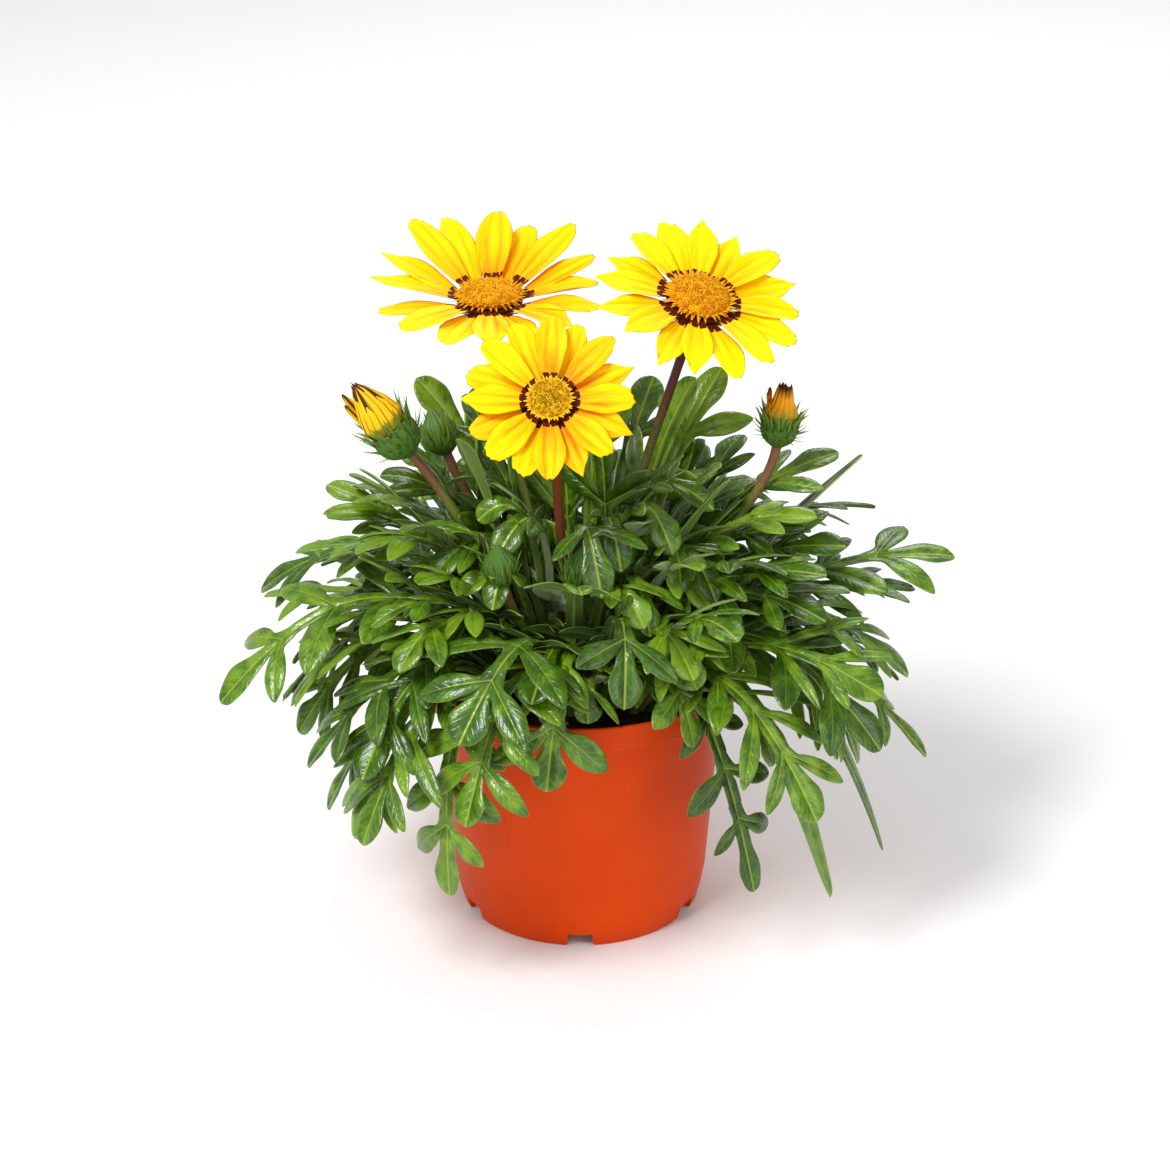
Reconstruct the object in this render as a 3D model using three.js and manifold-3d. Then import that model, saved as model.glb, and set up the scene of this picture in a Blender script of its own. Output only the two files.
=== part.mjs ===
// Potted gazania: a plastic nursery pot filled with soil, with three open flowers,
// two coloured buds, three green buds and a rosette of lobed leaves.
// Millimetres, +Z up. Every place below is measured from the pot's axis and from the surface that
// the pot stands on. At the end the whole plant is moved sideways, so that the origin is below
// the centre of its bounding box.

import * as THREE from 'three';
import { mergeVertices } from 'three/addons/utils/BufferGeometryUtils.js';
import Module from 'manifold-3d';

const wasm = await Module();
wasm.setup();

// ---------------------------------------------------------------- driving dimensions

const GAP = 0.3; // air between two pieces that touch
const GOLDEN_ANGLE = 137.508; // degrees

const POT = {
  rimRadius: 60,
  height: 97,
  bandHeight: 10.3, // the stiffening band round the rim
  ledgeRadius: 52.6, // where the body meets the underside of the band
  bendRadius: 47.2, // where the straight body turns in to the foot
  bendHeight: 13,
  footRadius: 44.4,
  wall: 1.5,
  floorHeight: 6,
  notches: 6,
  notchWidth: 9,
  notchHeight: 5.4,
  notchCorner: 1.4, // each notch flares out to the ground with this radius
  drainRadius: 3,
  drainRing: 31,
  drainSides: 8,
  sides: 36,
};
const NOTCH_CUT = 14; // how far the cutter of a notch reaches, in and out of the foot
const DRAIN_CUT = 12;

const SOIL = {
  level: 84, // at the wall; it rises a little towards the crown
  mound: 2.5,
  lump: 0.8,
  sides: 18,
  rings: [34, 44],
  holeDepth: 5,
  holeSides: 5,
  holeAbove: 13, // how far the cutter of a hole reaches up out of the soil
};
const FOOT_LEVEL = SOIL.level - SOIL.holeDepth + 1; // where stems and leaf stalks end

const STEM = {
  radius: 1.7,
  sides: 6,
  steps: 5,
  room: 1, // air round a stem in its hole
  upright: 0.42, // the share of its rise that a stem keeps going the way it started
  lean: 0.18, // how far it has then leant over towards its head
  neck: 0.3, // the share of its rise that a stem lies along the axis of its head
  sunk: 2, // how far it runs into the head
};

// Each open flower has its centre, the direction that its face looks in (azimuth and elevation
// in degrees), where its stem leaves the soil, and the radii of its whorl and of its disc. Its
// rays rise by raise degrees, and by up to sway more on the side towards the back of the plant;
// their tips droop by droop degrees.
const FLOWERS = [
  {
    name: 'left', centre: [-32, 32, 221.5], azimuth: -95, elevation: 84, root: [-6, 5],
    radius: 41.5, disc: 11.4, petals: 16, raise: 17, sway: 13, droop: 3, seed: 3,
  },
  {
    name: 'right', centre: [41, 4, 230.5], azimuth: -62, elevation: 66, root: [3, 1],
    radius: 37, disc: 11, petals: 16, raise: 8, sway: 7, droop: 4, seed: 5,
  },
  {
    name: 'front', centre: [-10, -36, 208.5], azimuth: -92, elevation: 45, root: [-4, -5],
    radius: 30, disc: 7.4, petals: 16, raise: 9, sway: 3, droop: 4, seed: 8,
  },
];

// A bud has the centre of its cup's top, the cup's radius, the length of ray above it (0 when
// it is shut), its number of bracts and how far they lean out in degrees. taper is the radius of
// the rolled rays halfway up, near the top and at the top, of what it is inside the cup.
const BUDS = [
  {
    name: 'left', centre: [-66, -10, 189], azimuth: 180, elevation: 53, root: [-17, 1],
    cup: 8.6, rays: 21, taper: [0.86, 0.46, 0.16], bracts: 7, spread: 34, seed: 2,
  },
  {
    name: 'right', centre: [70.5, 0, 188], azimuth: 10, elevation: 84, root: [12, -3],
    cup: 6.8, rays: 14, taper: [0.84, 0.66, 0.52], bracts: 7, spread: 34, seed: 4,
  },
  {
    name: 'rear', centre: [-51, 22, 176], azimuth: 160, elevation: 70, root: [-4, 11],
    cup: 6.6, rays: 0, bracts: 6, spread: 22, seed: 6,
  },
  {
    name: 'centre_left', centre: [-27.5, -38, 150], azimuth: -110, elevation: 74,
    root: [-9, -8], cup: 6.2, rays: 0, bracts: 6, spread: 24, seed: 7,
  },
  {
    name: 'centre_right', centre: [0, -38, 148], azimuth: -80, elevation: 80, root: [2, -9],
    cup: 6.2, rays: 0, bracts: 6, spread: 24, seed: 9,
  },
];

const PETAL = {
  thickness: 0.8, width: 13, layer: 1.7, turnJitter: 2.5, raiseJitter: 3, sizeJitter: 0.05,
  droopJitter: 0.5,
};
// The outline of one ray as [along, half width] rows; along is 0 at its root and 1 at its tip.
const RAY_ROWS = [[0, 0.34], [0.52, 0.96], [0.86, 0.72]];
const PLATE = { thickness: 2.4, sides: 16, collar: 1.6, overlap: 2.6 };
const DISC = { height: 4.2, rim: 0.6, foot: 0.96, sides: 20, rings: 4, floret: 0.55 };
const CUP = {
  height: 13, width: 9.6, sides: 10, teeth: 10, tooth: 6.5, toothRadius: 1.3, toothHeight: -4.2,
  toothSpread: 68,
};
const BRACT = {
  radius: 1.2, sides: 3, sunk: 0.8, sizeJitter: 0.15, leanJitter: 5, turnJitter: 0.08,
  upper: 1.45, // the length of the upper bracts, of the cup's radius
  lower: 1.1,
};
const BUD = {
  sides: 8, pleats: 8, pleatIn: 0.88, pleatOut: 1.04, raySunk: 1.4, fewerBelow: 3,
  depth: 1.45, // the cup's height, of its radius
  point: 1.45, // how far a shut bud reaches above its widest place, of the cup's radius
};

// A leaf is an arch: it leaves the soil at its ring's radius, passes the knee and ends at the
// tip. azimuth is in degrees; knee and tip are [reach from the pot's axis, height]. lobe
// is the length of its longest side lobe, and where pairs is 0 the width of an undivided leaf.
// firstLobe is where the lobes of a ring's leaves begin, along the midrib.
const ROOT_RING = {
  low: { radius: 28, firstLobe: 0.47 },
  middle: { radius: 22, firstLobe: 0.45 },
  upper: { radius: 16, firstLobe: 0.4 },
};
const LEAVES = [
  { azimuth: -112, ring: 'middle', knee: [54, 127], tip: [92, 103], pairs: 3, lobe: 33 },
  { azimuth: -97, ring: 'middle', knee: [50, 120], tip: [78, 84], pairs: 2, lobe: 28 },
  { azimuth: -107, ring: 'low', knee: [62, 110], tip: [95, 70], pairs: 3, lobe: 29 },
  { azimuth: -124, ring: 'low', knee: [66, 104], tip: [93, 47], pairs: 3, lobe: 25 },
  { azimuth: -150, ring: 'low', knee: [64, 112], tip: [110, 80], pairs: 3, lobe: 31 },
  { azimuth: -144, ring: 'low', knee: [62, 106], tip: [96, 48], pairs: 2, lobe: 24 },
  { azimuth: -169, ring: 'middle', knee: [72, 126], tip: [131, 90], pairs: 3, lobe: 32 },
  { azimuth: 176, ring: 'middle', knee: [48, 130], tip: [95, 128], pairs: 2, lobe: 29 },
  { azimuth: 161, ring: 'middle', knee: [70, 126], tip: [127, 104], pairs: 2, lobe: 30 },
  { azimuth: 174, ring: 'upper', knee: [40, 136], tip: [82, 157], pairs: 2, lobe: 23 },
  { azimuth: -31, ring: 'middle', knee: [66, 121], tip: [118, 86], pairs: 3, lobe: 32 },
  { azimuth: 6, ring: 'middle', knee: [78, 122], tip: [139, 127], pairs: 3, lobe: 31 },
  { azimuth: -7, ring: 'middle', knee: [62, 120], tip: [113, 106], pairs: 3, lobe: 30 },
  { azimuth: 14, ring: 'middle', knee: [55, 134], tip: [114, 142], pairs: 3, lobe: 25 },
  { azimuth: -34, ring: 'low', knee: [66, 106], tip: [106, 28], pairs: 0, lobe: 15 },
  { azimuth: -52, ring: 'low', knee: [64, 106], tip: [90, 36], pairs: 3, lobe: 21 },
  { azimuth: -13, ring: 'low', knee: [72, 112], tip: [128, 70], pairs: 2, lobe: 25 },
  { azimuth: -20, ring: 'low', knee: [70, 106], tip: [119, 42], pairs: 0, lobe: 13 },
  { azimuth: -34, ring: 'upper', knee: [44, 136], tip: [85, 150], pairs: 2, lobe: 28 },
  { azimuth: -78, ring: 'upper', knee: [42, 140], tip: [76, 126], pairs: 2, lobe: 28 },
  { azimuth: 28, ring: 'upper', knee: [28, 148], tip: [47, 196], pairs: 1, lobe: 30 },
  { azimuth: 45, ring: 'upper', knee: [34, 146], tip: [68, 192], pairs: 2, lobe: 28 },
  { azimuth: 4, ring: 'upper', knee: [52, 134], tip: [87, 186], pairs: 0, lobe: 14 },
  { azimuth: 19, ring: 'middle', knee: [52, 130], tip: [101, 154], pairs: 2, lobe: 23 },
  { azimuth: 152, ring: 'upper', knee: [34, 142], tip: [68, 191], pairs: 2, lobe: 28 },
  { azimuth: -166, ring: 'upper', knee: [26, 136], tip: [44, 186], pairs: 1, lobe: 28 },
  { azimuth: -73, ring: 'middle', knee: [50, 120], tip: [76, 102], pairs: 2, lobe: 25 },
  { azimuth: -42, ring: 'upper', knee: [34, 142], tip: [62, 184], pairs: 0, lobe: 14 },
  { azimuth: 62, ring: 'upper', knee: [24, 146], tip: [36, 192], pairs: 1, lobe: 24 },
  { azimuth: 52, ring: 'low', knee: [68, 118], tip: [122, 108], pairs: 3, lobe: 32 },
  { azimuth: 36, ring: 'low', knee: [66, 108], tip: [108, 62], pairs: 2, lobe: 28 },
  { azimuth: 74, ring: 'low', knee: [66, 108], tip: [104, 60], pairs: 2, lobe: 28 },
  { azimuth: 88, ring: 'middle', knee: [64, 124], tip: [118, 112], pairs: 2, lobe: 32 },
  { azimuth: 122, ring: 'middle', knee: [64, 124], tip: [116, 118], pairs: 2, lobe: 31 },
  { azimuth: 140, ring: 'low', knee: [66, 108], tip: [106, 70], pairs: 2, lobe: 28 },
  { azimuth: 66, ring: 'upper', knee: [36, 140], tip: [74, 180], pairs: 2, lobe: 28 },
  { azimuth: 96, ring: 'upper', knee: [34, 140], tip: [66, 184], pairs: 2, lobe: 28 },
  { azimuth: 126, ring: 'upper', knee: [40, 138], tip: [82, 166], pairs: 2, lobe: 28 },
  { azimuth: -104, ring: 'upper', knee: [30, 140], tip: [54, 162], pairs: 2, lobe: 24 },
  { azimuth: -58, ring: 'upper', knee: [32, 138], tip: [58, 160], pairs: 2, lobe: 24 },
  { azimuth: -138, ring: 'upper', knee: [36, 138], tip: [68, 146], pairs: 2, lobe: 24 },
];

const BLADE = {
  thickness: 0.9,
  petiole: 1.7, // half the width of the leaf stalk at the soil
  petioleEnd: 0.26, // the first bend of the stalk, along the midrib
  wing: 3, // half the width of the green strip along the midrib
  keel: 1.3, // how far the midrib stands out below at the soil
  trough: 0.15, // how steeply the blade rises from the midrib to its edges
  lobeWidth: 0.4, // of a lobe's length
  lobeRoom: 0.36, // of the way to the next lobe, the most that half a lobe's width takes
  lobeAngle: 58, // degrees away from the midrib
  lobeFan: 8, // degrees by which the first pair stands out more than the last
  lastLobe: 0.77, // along the midrib, 0 at the soil and 1 at the tip
  lobeBase: 5.5, // half a lobe's root
  lobeLeast: 0.72, // the length that an end pair tends to, of the longest lobe's
  endLobe: 1.15, // the width of the end lobe, of a side lobe's
  lift: 0.2, // how steeply a lobe leaves the midrib
  curl: 0.34, // how much of its length it then droops
};
const LEAF_JITTER = { knee: 6, tip: 8, roll: 24, length: 0.12, angle: 4, curl: 0.14 };
// The outline of a side lobe as [along, half width] corners, from its near side to its far side.
const LOBE_OUTLINE = [[0.62, -1], [0.98, -0.5], [0.98, 0.5], [0.62, 1]];
// The outlines of the end lobe and of an undivided leaf as [along the midrib, half width] rows.
const END_OUTLINE = [[0.93, 1], [0.985, 0.55]];
const SIMPLE_OUTLINE = [[0.45, 0.55], [0.66, 1], [0.88, 0.72]];
const LONE_PAIR = 0.6; // where a single pair stands, between the places of a first and a last one
const CLEARANCE = 0.45; // kept free round a leaf while it looks for its place
const NUDGE_STEP = 1.4; // degrees
const NUDGE_LIMIT = 400;
const ROOT_SHIFT = 3.5;
const STALK_ROOM = 1.3; // air round a leaf stalk in its hole

const FINISH = {
  pot: { color: 0xcc4315, roughness: 0.45 },
  soil: { color: 0x3b2a1e, roughness: 0.95 },
  leaf: { color: 0x3c6e25, roughness: 0.55 },
  stem: { color: 0x5f7a33, roughness: 0.6 },
  bract: { color: 0x5c8434, roughness: 0.65 },
  petal: { color: 0xffdf14, roughness: 0.5 },
  disc: { color: 0xd99a12, roughness: 0.8 },
  budRay: { color: 0xe6b020, roughness: 0.5 },
};

// ---------------------------------------------------------------- helpers

const radians = THREE.MathUtils.degToRad;

// A repeatable number from 0 to 1 for a seed and a counter. Each use of a seed counts from a
// number of its own, so that no two draws are alike.
function draw(seed, count) {
  const value = Math.sin(seed * 12.9898 + count * 78.233) * 43758.5453;
  return value - Math.floor(value);
}

function jitter(seed, count, size) {
  return (2 * draw(seed, count) - 1) * size;
}

// The direction at an azimuth and an elevation in degrees.
function direction(azimuth, elevation) {
  const flat = Math.cos(radians(elevation));
  return new THREE.Vector3(
    flat * Math.cos(radians(azimuth)),
    flat * Math.sin(radians(azimuth)),
    Math.sin(radians(elevation)),
  );
}

// A closed geometry as a solid, with its faces turned outwards.
function solid(geometry) {
  const bare = geometry.index ? geometry.toNonIndexed() : geometry.clone();
  bare.deleteAttribute('normal');
  bare.deleteAttribute('uv');
  const merged = mergeVertices(bare, 1e-4);
  const points = merged.attributes.position.array;
  const faces = Array.from(merged.index.array);
  const kept = [];
  for (let i = 0; i < faces.length; i += 3) {
    const [a, b, c] = faces.slice(i, i + 3);
    if (a !== b && b !== c && c !== a) kept.push(a, b, c);
  }
  if (signedVolume(points, kept) < 0) {
    for (let i = 0; i < kept.length; i += 3) [kept[i], kept[i + 1]] = [kept[i + 1], kept[i]];
  }
  const mesh = new wasm.Mesh({
    numProp: 3,
    vertProperties: Float32Array.from(points),
    triVerts: Uint32Array.from(kept),
  });
  return new wasm.Manifold(mesh);
}

function signedVolume(points, faces) {
  const at = (i) => new THREE.Vector3().fromArray(points, 3 * i);
  let sum = 0;
  for (let i = 0; i < faces.length; i += 3) {
    sum += at(faces[i]).dot(at(faces[i + 1]).cross(at(faces[i + 2]))) / 6;
  }
  return sum;
}

// A solid as a geometry with flat-shaded faces.
function surface(manifold) {
  const mesh = manifold.getMesh();
  const geometry = new THREE.BufferGeometry();
  geometry.setAttribute('position', new THREE.BufferAttribute(mesh.vertProperties, 3));
  geometry.setIndex(new THREE.BufferAttribute(mesh.triVerts, 1));
  geometry.computeVertexNormals();
  return geometry;
}

function joined(solids) {
  return solids.reduce((whole, next) => whole.add(next));
}

// A turned shape about +Z from its profile of [radius, height] points.
function turned(profile, sides) {
  const points = profile.map(([radius, height]) => new THREE.Vector2(radius, height));
  return new THREE.LatheGeometry(points, sides).rotateX(Math.PI / 2);
}

// A round bar of one radius along a curve.
function bar(curve, radius, sides, steps) {
  const section = new THREE.Shape();
  for (let i = 0; i < sides; i += 1) {
    const turn = (i / sides) * 2 * Math.PI;
    const [x, y] = [radius * Math.cos(turn), radius * Math.sin(turn)];
    if (i === 0) section.moveTo(x, y);
    else section.lineTo(x, y);
  }
  return new THREE.ExtrudeGeometry(section, { steps, extrudePath: curve });
}

// The placement that carries a shape built about +Z to a centre and an axis.
function placement(centre, axis) {
  const turn = new THREE.Quaternion().setFromUnitVectors(new THREE.Vector3(0, 0, 1), axis);
  return new THREE.Matrix4().compose(centre, turn, new THREE.Vector3(1, 1, 1));
}

const plant = new THREE.Group();
const obstacles = []; // solids that a new leaf has to keep clear of
const sockets = []; // the holes that stems and leaf stalks stand in

function addPiece(name, manifold, finish) {
  const material = new THREE.MeshStandardMaterial({ ...finish, metalness: 0 });
  const mesh = new THREE.Mesh(surface(manifold), material);
  mesh.name = name;
  plant.add(mesh);
  obstacles.push(manifold);
}

// A hole for what leaves the soil in a straight line from its foot to a place further up.
function addSocket(foot, above, radius) {
  sockets.push({ foot, along: above.clone().sub(foot).normalize(), radius });
}

// ---------------------------------------------------------------- pot

function potBody() {
  const { wall, height, floorHeight } = POT;
  const bandBottom = height - POT.bandHeight;
  const profile = [
    [0, floorHeight],
    [POT.footRadius - wall - 0.6, floorHeight],
    [POT.footRadius - wall, 0],
    [POT.footRadius, 0],
    [POT.bendRadius - 1.1, POT.bendHeight / 2],
    [POT.bendRadius, POT.bendHeight],
    [POT.ledgeRadius, bandBottom],
    [POT.rimRadius - 0.9, bandBottom + 0.6],
    [POT.rimRadius, height],
    [POT.rimRadius - wall, height],
    [POT.rimRadius - wall - 1, bandBottom + 2.2],
    [POT.ledgeRadius - wall, bandBottom + 1.2],
    [POT.bendRadius - wall, POT.bendHeight],
    [POT.footRadius - wall, floorHeight + wall],
    [0, floorHeight + wall],
  ];
  return solid(turned(profile, POT.sides));
}

// The cutter of one notch in the foot.
function footNotch(azimuth) {
  const half = POT.notchWidth / 2;
  const corner = POT.notchCorner;
  const outline = new THREE.Shape();
  outline.moveTo(-half - corner, -1);
  outline.lineTo(-half - corner, 0);
  outline.quadraticCurveTo(-half, 0, -half, corner);
  outline.lineTo(-half, POT.notchHeight);
  outline.lineTo(half, POT.notchHeight);
  outline.lineTo(half, corner);
  outline.quadraticCurveTo(half, 0, half + corner, 0);
  outline.lineTo(half + corner, -1);
  const cutter = new THREE.ExtrudeGeometry(
    outline,
    { depth: NOTCH_CUT, bevelEnabled: false, curveSegments: 2 },
  );
  cutter.rotateX(Math.PI / 2);
  cutter.translate(0, -POT.footRadius + NOTCH_CUT / 2, 0);
  cutter.rotateZ(radians(azimuth));
  return solid(cutter);
}

function drainHole(azimuth) {
  const radius = POT.drainRadius;
  const cutter = new THREE.CylinderGeometry(radius, radius, DRAIN_CUT, POT.drainSides);
  cutter.rotateX(Math.PI / 2);
  cutter.translate(0, -POT.drainRing, POT.floorHeight);
  cutter.rotateZ(radians(azimuth));
  return solid(cutter);
}

function pot() {
  let body = potBody();
  for (let i = 0; i < POT.notches; i += 1) {
    const azimuth = (360 / POT.notches) * i;
    body = body.subtract(footNotch(azimuth));
    body = body.subtract(drainHole(azimuth));
  }
  return body;
}

// ---------------------------------------------------------------- soil

function soilTop(x, y) {
  const reach = Math.min(1, Math.hypot(x, y) / SOIL.rings.at(-1));
  const lumps = Math.sin(0.31 * x + 1.7 * Math.sin(0.19 * y)) * Math.cos(0.27 * y + 0.6);
  return SOIL.level + SOIL.mound * (1 - reach * reach) + SOIL.lump * lumps;
}

// The soil fills the pot to its level and is lumpy on top.
function soilFill() {
  const { wall } = POT;
  const bottom = POT.floorHeight + wall + GAP;
  const bandBottom = POT.height - POT.bandHeight;
  const slope = (POT.ledgeRadius - POT.bendRadius) / (bandBottom - POT.bendHeight);
  const edge = POT.bendRadius - wall + slope * (SOIL.level - POT.bendHeight) - GAP;
  const flatTop = SOIL.level + 1; // above the edge, until soilTop gives its height
  const profile = [
    [0, bottom],
    [POT.footRadius - wall - 2 * GAP, bottom],
    [POT.bendRadius - wall - 2 * GAP, POT.bendHeight],
    [edge - GAP, SOIL.level],
    ...SOIL.rings.toReversed().map((radius) => [radius, flatTop]),
    [0, flatTop],
  ];
  const body = turned(profile, SOIL.sides);
  const place = body.attributes.position;
  for (let i = 0; i < place.count; i += 1) {
    const [x, y, z] = [place.getX(i), place.getY(i), place.getZ(i)];
    if (z > SOIL.level + 0.5) place.setZ(i, soilTop(x, y));
  }
  return solid(body);
}

// A plain hole down to just below a foot, along the way that the stem leaves it.
function socketHole({ foot, along, radius }) {
  const length = SOIL.holeDepth + 1 + SOIL.holeAbove;
  const hole = new THREE.CylinderGeometry(radius, radius, length, SOIL.holeSides);
  hole.rotateX(Math.PI / 2);
  hole.translate(0, 0, length / 2 - 1);
  hole.applyMatrix4(placement(foot, along));
  return solid(hole);
}

// ---------------------------------------------------------------- stems, cups and bracts

// The stem's curve from below the soil to the head, ending along the head's axis.
function stemCurve(root, top, axis) {
  const foot = new THREE.Vector3(root[0], root[1], FOOT_LEVEL);
  const rise = top.z - foot.z;
  const low = foot.clone().add(new THREE.Vector3(0, 0, STEM.upright * rise));
  low.lerp(new THREE.Vector3(top.x, top.y, low.z), STEM.lean);
  const high = top.clone().addScaledVector(axis, -STEM.neck * rise);
  return new THREE.CubicBezierCurve3(foot, low, high, top);
}

// Narrow pointed bracts in a ring: each is a thin three-sided cone, root sunk in the cup.
function bractRing({ count, radius, height, length, thick, spread, seed }) {
  const teeth = [];
  for (let i = 0; i < count; i += 1) {
    const size = length * (1 + jitter(seed, i, BRACT.sizeJitter));
    const tooth = new THREE.ConeGeometry(thick, size, BRACT.sides);
    tooth.rotateX(Math.PI / 2);
    tooth.translate(0, 0, size / 2 - BRACT.sunk);
    tooth.rotateY(radians(spread + jitter(seed, i + 40, BRACT.leanJitter)));
    tooth.translate(radius, 0, height);
    tooth.rotateZ(2 * Math.PI * (i / count) + jitter(seed, i + 80, BRACT.turnJitter));
    teeth.push(solid(tooth));
  }
  return teeth;
}

// A stem joined to the green head that it carries.
function stemWithHead(root, centre, axis, head, headHeight) {
  const top = centre.clone().addScaledVector(axis, -headHeight + STEM.sunk);
  const curve = stemCurve(root, top, axis);
  addSocket(curve.getPointAt(0), curve.getPointAt(1 / STEM.steps), STEM.radius + STEM.room);
  const stem = solid(bar(curve, STEM.radius, STEM.sides, STEM.steps));
  return stem.add(head);
}

// ---------------------------------------------------------------- open flowers

function flowerCup(flower) {
  const wide = CUP.width * (flower.disc / FLOWERS[0].disc);
  const profile = [
    [0, -CUP.height],
    [STEM.radius + 0.6, -CUP.height],
    [wide * 0.62, -CUP.height + 4],
    [wide * 0.86, -CUP.height + 8],
    [wide, -PLATE.thickness / 2 - GAP],
    [0, -PLATE.thickness / 2 - GAP],
  ];
  return { wide, body: turned(profile, CUP.sides) };
}

// One ray: a thin blade that leaves the plate at its own slope and bends down along its length.
function rayBlade({ inner, outer, halfWidth, height, slope, bend }) {
  const length = outer - inner;
  const at = (along, side, face) => new THREE.Vector3(
    inner + length * along,
    side,
    height + length * (slope * along - bend * along * along) + face * PETAL.thickness / 2,
  );
  const rows = RAY_ROWS.map(([along, width]) => [1, -1].map((face) => [
    at(along, -halfWidth * width, face),
    at(along, halfWidth * width, face),
  ]));
  const [tipTop, tipBottom] = [at(1, 0, 1), at(1, 0, -1)];
  const corners = [];
  const quad = (a, b, c, d) => corners.push(a, b, c, a, c, d);
  const [first] = rows;
  const last = rows.at(-1);
  quad(first[0][0], first[1][0], first[1][1], first[0][1]);
  for (let i = 0; i + 1 < rows.length; i += 1) {
    const [[tl, tr], [bl, br]] = rows[i];
    const [[tl2, tr2], [bl2, br2]] = rows[i + 1];
    quad(tl, tr, tr2, tl2);
    quad(bl, bl2, br2, br);
    corners.push(bl, tl, tl2, bl, tl2, bl2);
    corners.push(br, tr2, tr, br, br2, tr2);
  }
  const [[tl, tr], [bl, br]] = last;
  corners.push(tl, tr, tipTop, bl, tipBottom, br);
  quad(bl, tl, tipTop, tipBottom);
  quad(tr, br, tipBottom, tipTop);
  return new THREE.BufferGeometry().setFromPoints(corners);
}

// The rays lie in two layers, every second one above its neighbours, joined by a round plate.
function petalWhorl(flower) {
  const plateRadius = flower.disc + PLATE.collar;
  const plate = new THREE.CylinderGeometry(plateRadius, plateRadius, PLATE.thickness, PLATE.sides);
  const parts = [solid(plate.rotateX(Math.PI / 2))];
  for (let i = 0; i < flower.petals; i += 1) {
    const turn = 360 * (i / flower.petals) + jitter(flower.seed, i, PETAL.turnJitter);
    const layer = i % 2 ? -0.5 : 0.5;
    const raise = flower.raise + flower.sway * Math.cos(radians(turn - flowerBack(flower)))
      + jitter(flower.seed, i + 30, PETAL.raiseJitter);
    const ray = rayBlade({
      inner: plateRadius - PLATE.overlap,
      outer: flower.radius * (1 + jitter(flower.seed, i + 60, PETAL.sizeJitter)),
      halfWidth: 0.5 * PETAL.width * Math.sqrt(flower.radius / FLOWERS[0].radius),
      height: layer * PETAL.layer,
      slope: Math.tan(radians(raise)),
      bend: Math.tan(radians(flower.droop))
        * (1 + jitter(flower.seed, i + 90, PETAL.droopJitter)),
    });
    parts.push(solid(ray.rotateZ(radians(turn))));
  }
  return joined(parts);
}

// The turn, in the flower's own frame, that points to the back of the plant (+Y).
function flowerBack(flower) {
  const axis = direction(flower.azimuth, flower.elevation);
  const level = placement(new THREE.Vector3(), axis).invert();
  const back = new THREE.Vector3(0, 1, 0).applyMatrix4(level);
  return THREE.MathUtils.radToDeg(Math.atan2(back.y, back.x));
}

// A low dome covered in florets: each second corner of its net stands out.
function floretDome(flower) {
  const foot = PLATE.thickness / 2 + GAP;
  const profile = [[0, foot]];
  for (let i = 0; i <= DISC.rings; i += 1) {
    const turn = (i / DISC.rings) * (Math.PI / 2);
    const rise = DISC.height * (flower.disc / FLOWERS[0].disc);
    profile.push([flower.disc * Math.cos(turn), foot + DISC.rim + rise * Math.sin(turn)]);
  }
  profile.splice(1, 0, [flower.disc * DISC.foot, foot]);
  profile.at(-1)[0] = 0;
  const dome = turned(profile, DISC.sides);
  const place = dome.attributes.position;
  const centre = new THREE.Vector3(0, 0, PLATE.thickness / 2);
  for (let i = 0; i < place.count; i += 1) {
    const ring = i % profile.length;
    const spoke = Math.floor(i / profile.length);
    if (ring < 2 || ring === profile.length - 1) continue;
    const point = new THREE.Vector3().fromBufferAttribute(place, i);
    const out = point.clone().sub(centre).normalize();
    const size = (ring + spoke) % 2 ? DISC.floret : -DISC.floret;
    point.addScaledVector(out, size);
    place.setXYZ(i, point.x, point.y, point.z);
  }
  return solid(dome);
}

function addFlower(flower) {
  const centre = new THREE.Vector3(...flower.centre);
  const axis = direction(flower.azimuth, flower.elevation);
  const place = placement(centre, axis);
  const cup = flowerCup(flower);
  const teeth = bractRing({
    count: CUP.teeth, radius: cup.wide - 1, height: CUP.toothHeight, length: CUP.tooth,
    thick: CUP.toothRadius, spread: CUP.toothSpread, seed: flower.seed,
  });
  const head = joined([solid(cup.body), ...teeth]);
  const placedHead = solid(surface(head).applyMatrix4(place));
  const stem = stemWithHead(flower.root, centre, axis, placedHead, CUP.height);
  addPiece(`flower_${flower.name}_stem_and_cup`, stem, FINISH.stem);
  const petals = solid(surface(petalWhorl(flower)).applyMatrix4(place));
  addPiece(`flower_${flower.name}_petals`, petals, FINISH.petal);
  const disc = solid(surface(floretDome(flower)).applyMatrix4(place));
  addPiece(`flower_${flower.name}_disc`, disc, FINISH.disc);
}

// ---------------------------------------------------------------- buds

// The rolled rays of a bud that is about to open: a pleated spindle that narrows to a point.
function budRays(bud) {
  const base = bud.cup - BUD.raySunk;
  const profile = [
    [0, GAP],
    [base * 0.86, GAP],
    [base * 1.06, bud.rays * 0.2],
    [base * bud.taper[0], bud.rays * 0.5],
    [base * bud.taper[1], bud.rays * 0.82],
    [base * bud.taper[2], bud.rays * 0.97],
    [0, bud.rays],
  ];
  const spindle = turned(profile, 2 * BUD.pleats);
  const place = spindle.attributes.position;
  for (let i = 0; i < place.count; i += 1) {
    const spoke = Math.floor(i / profile.length);
    const size = spoke % 2 ? BUD.pleatIn : BUD.pleatOut;
    place.setXY(i, place.getX(i) * size, place.getY(i) * size);
  }
  return solid(spindle);
}

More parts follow.
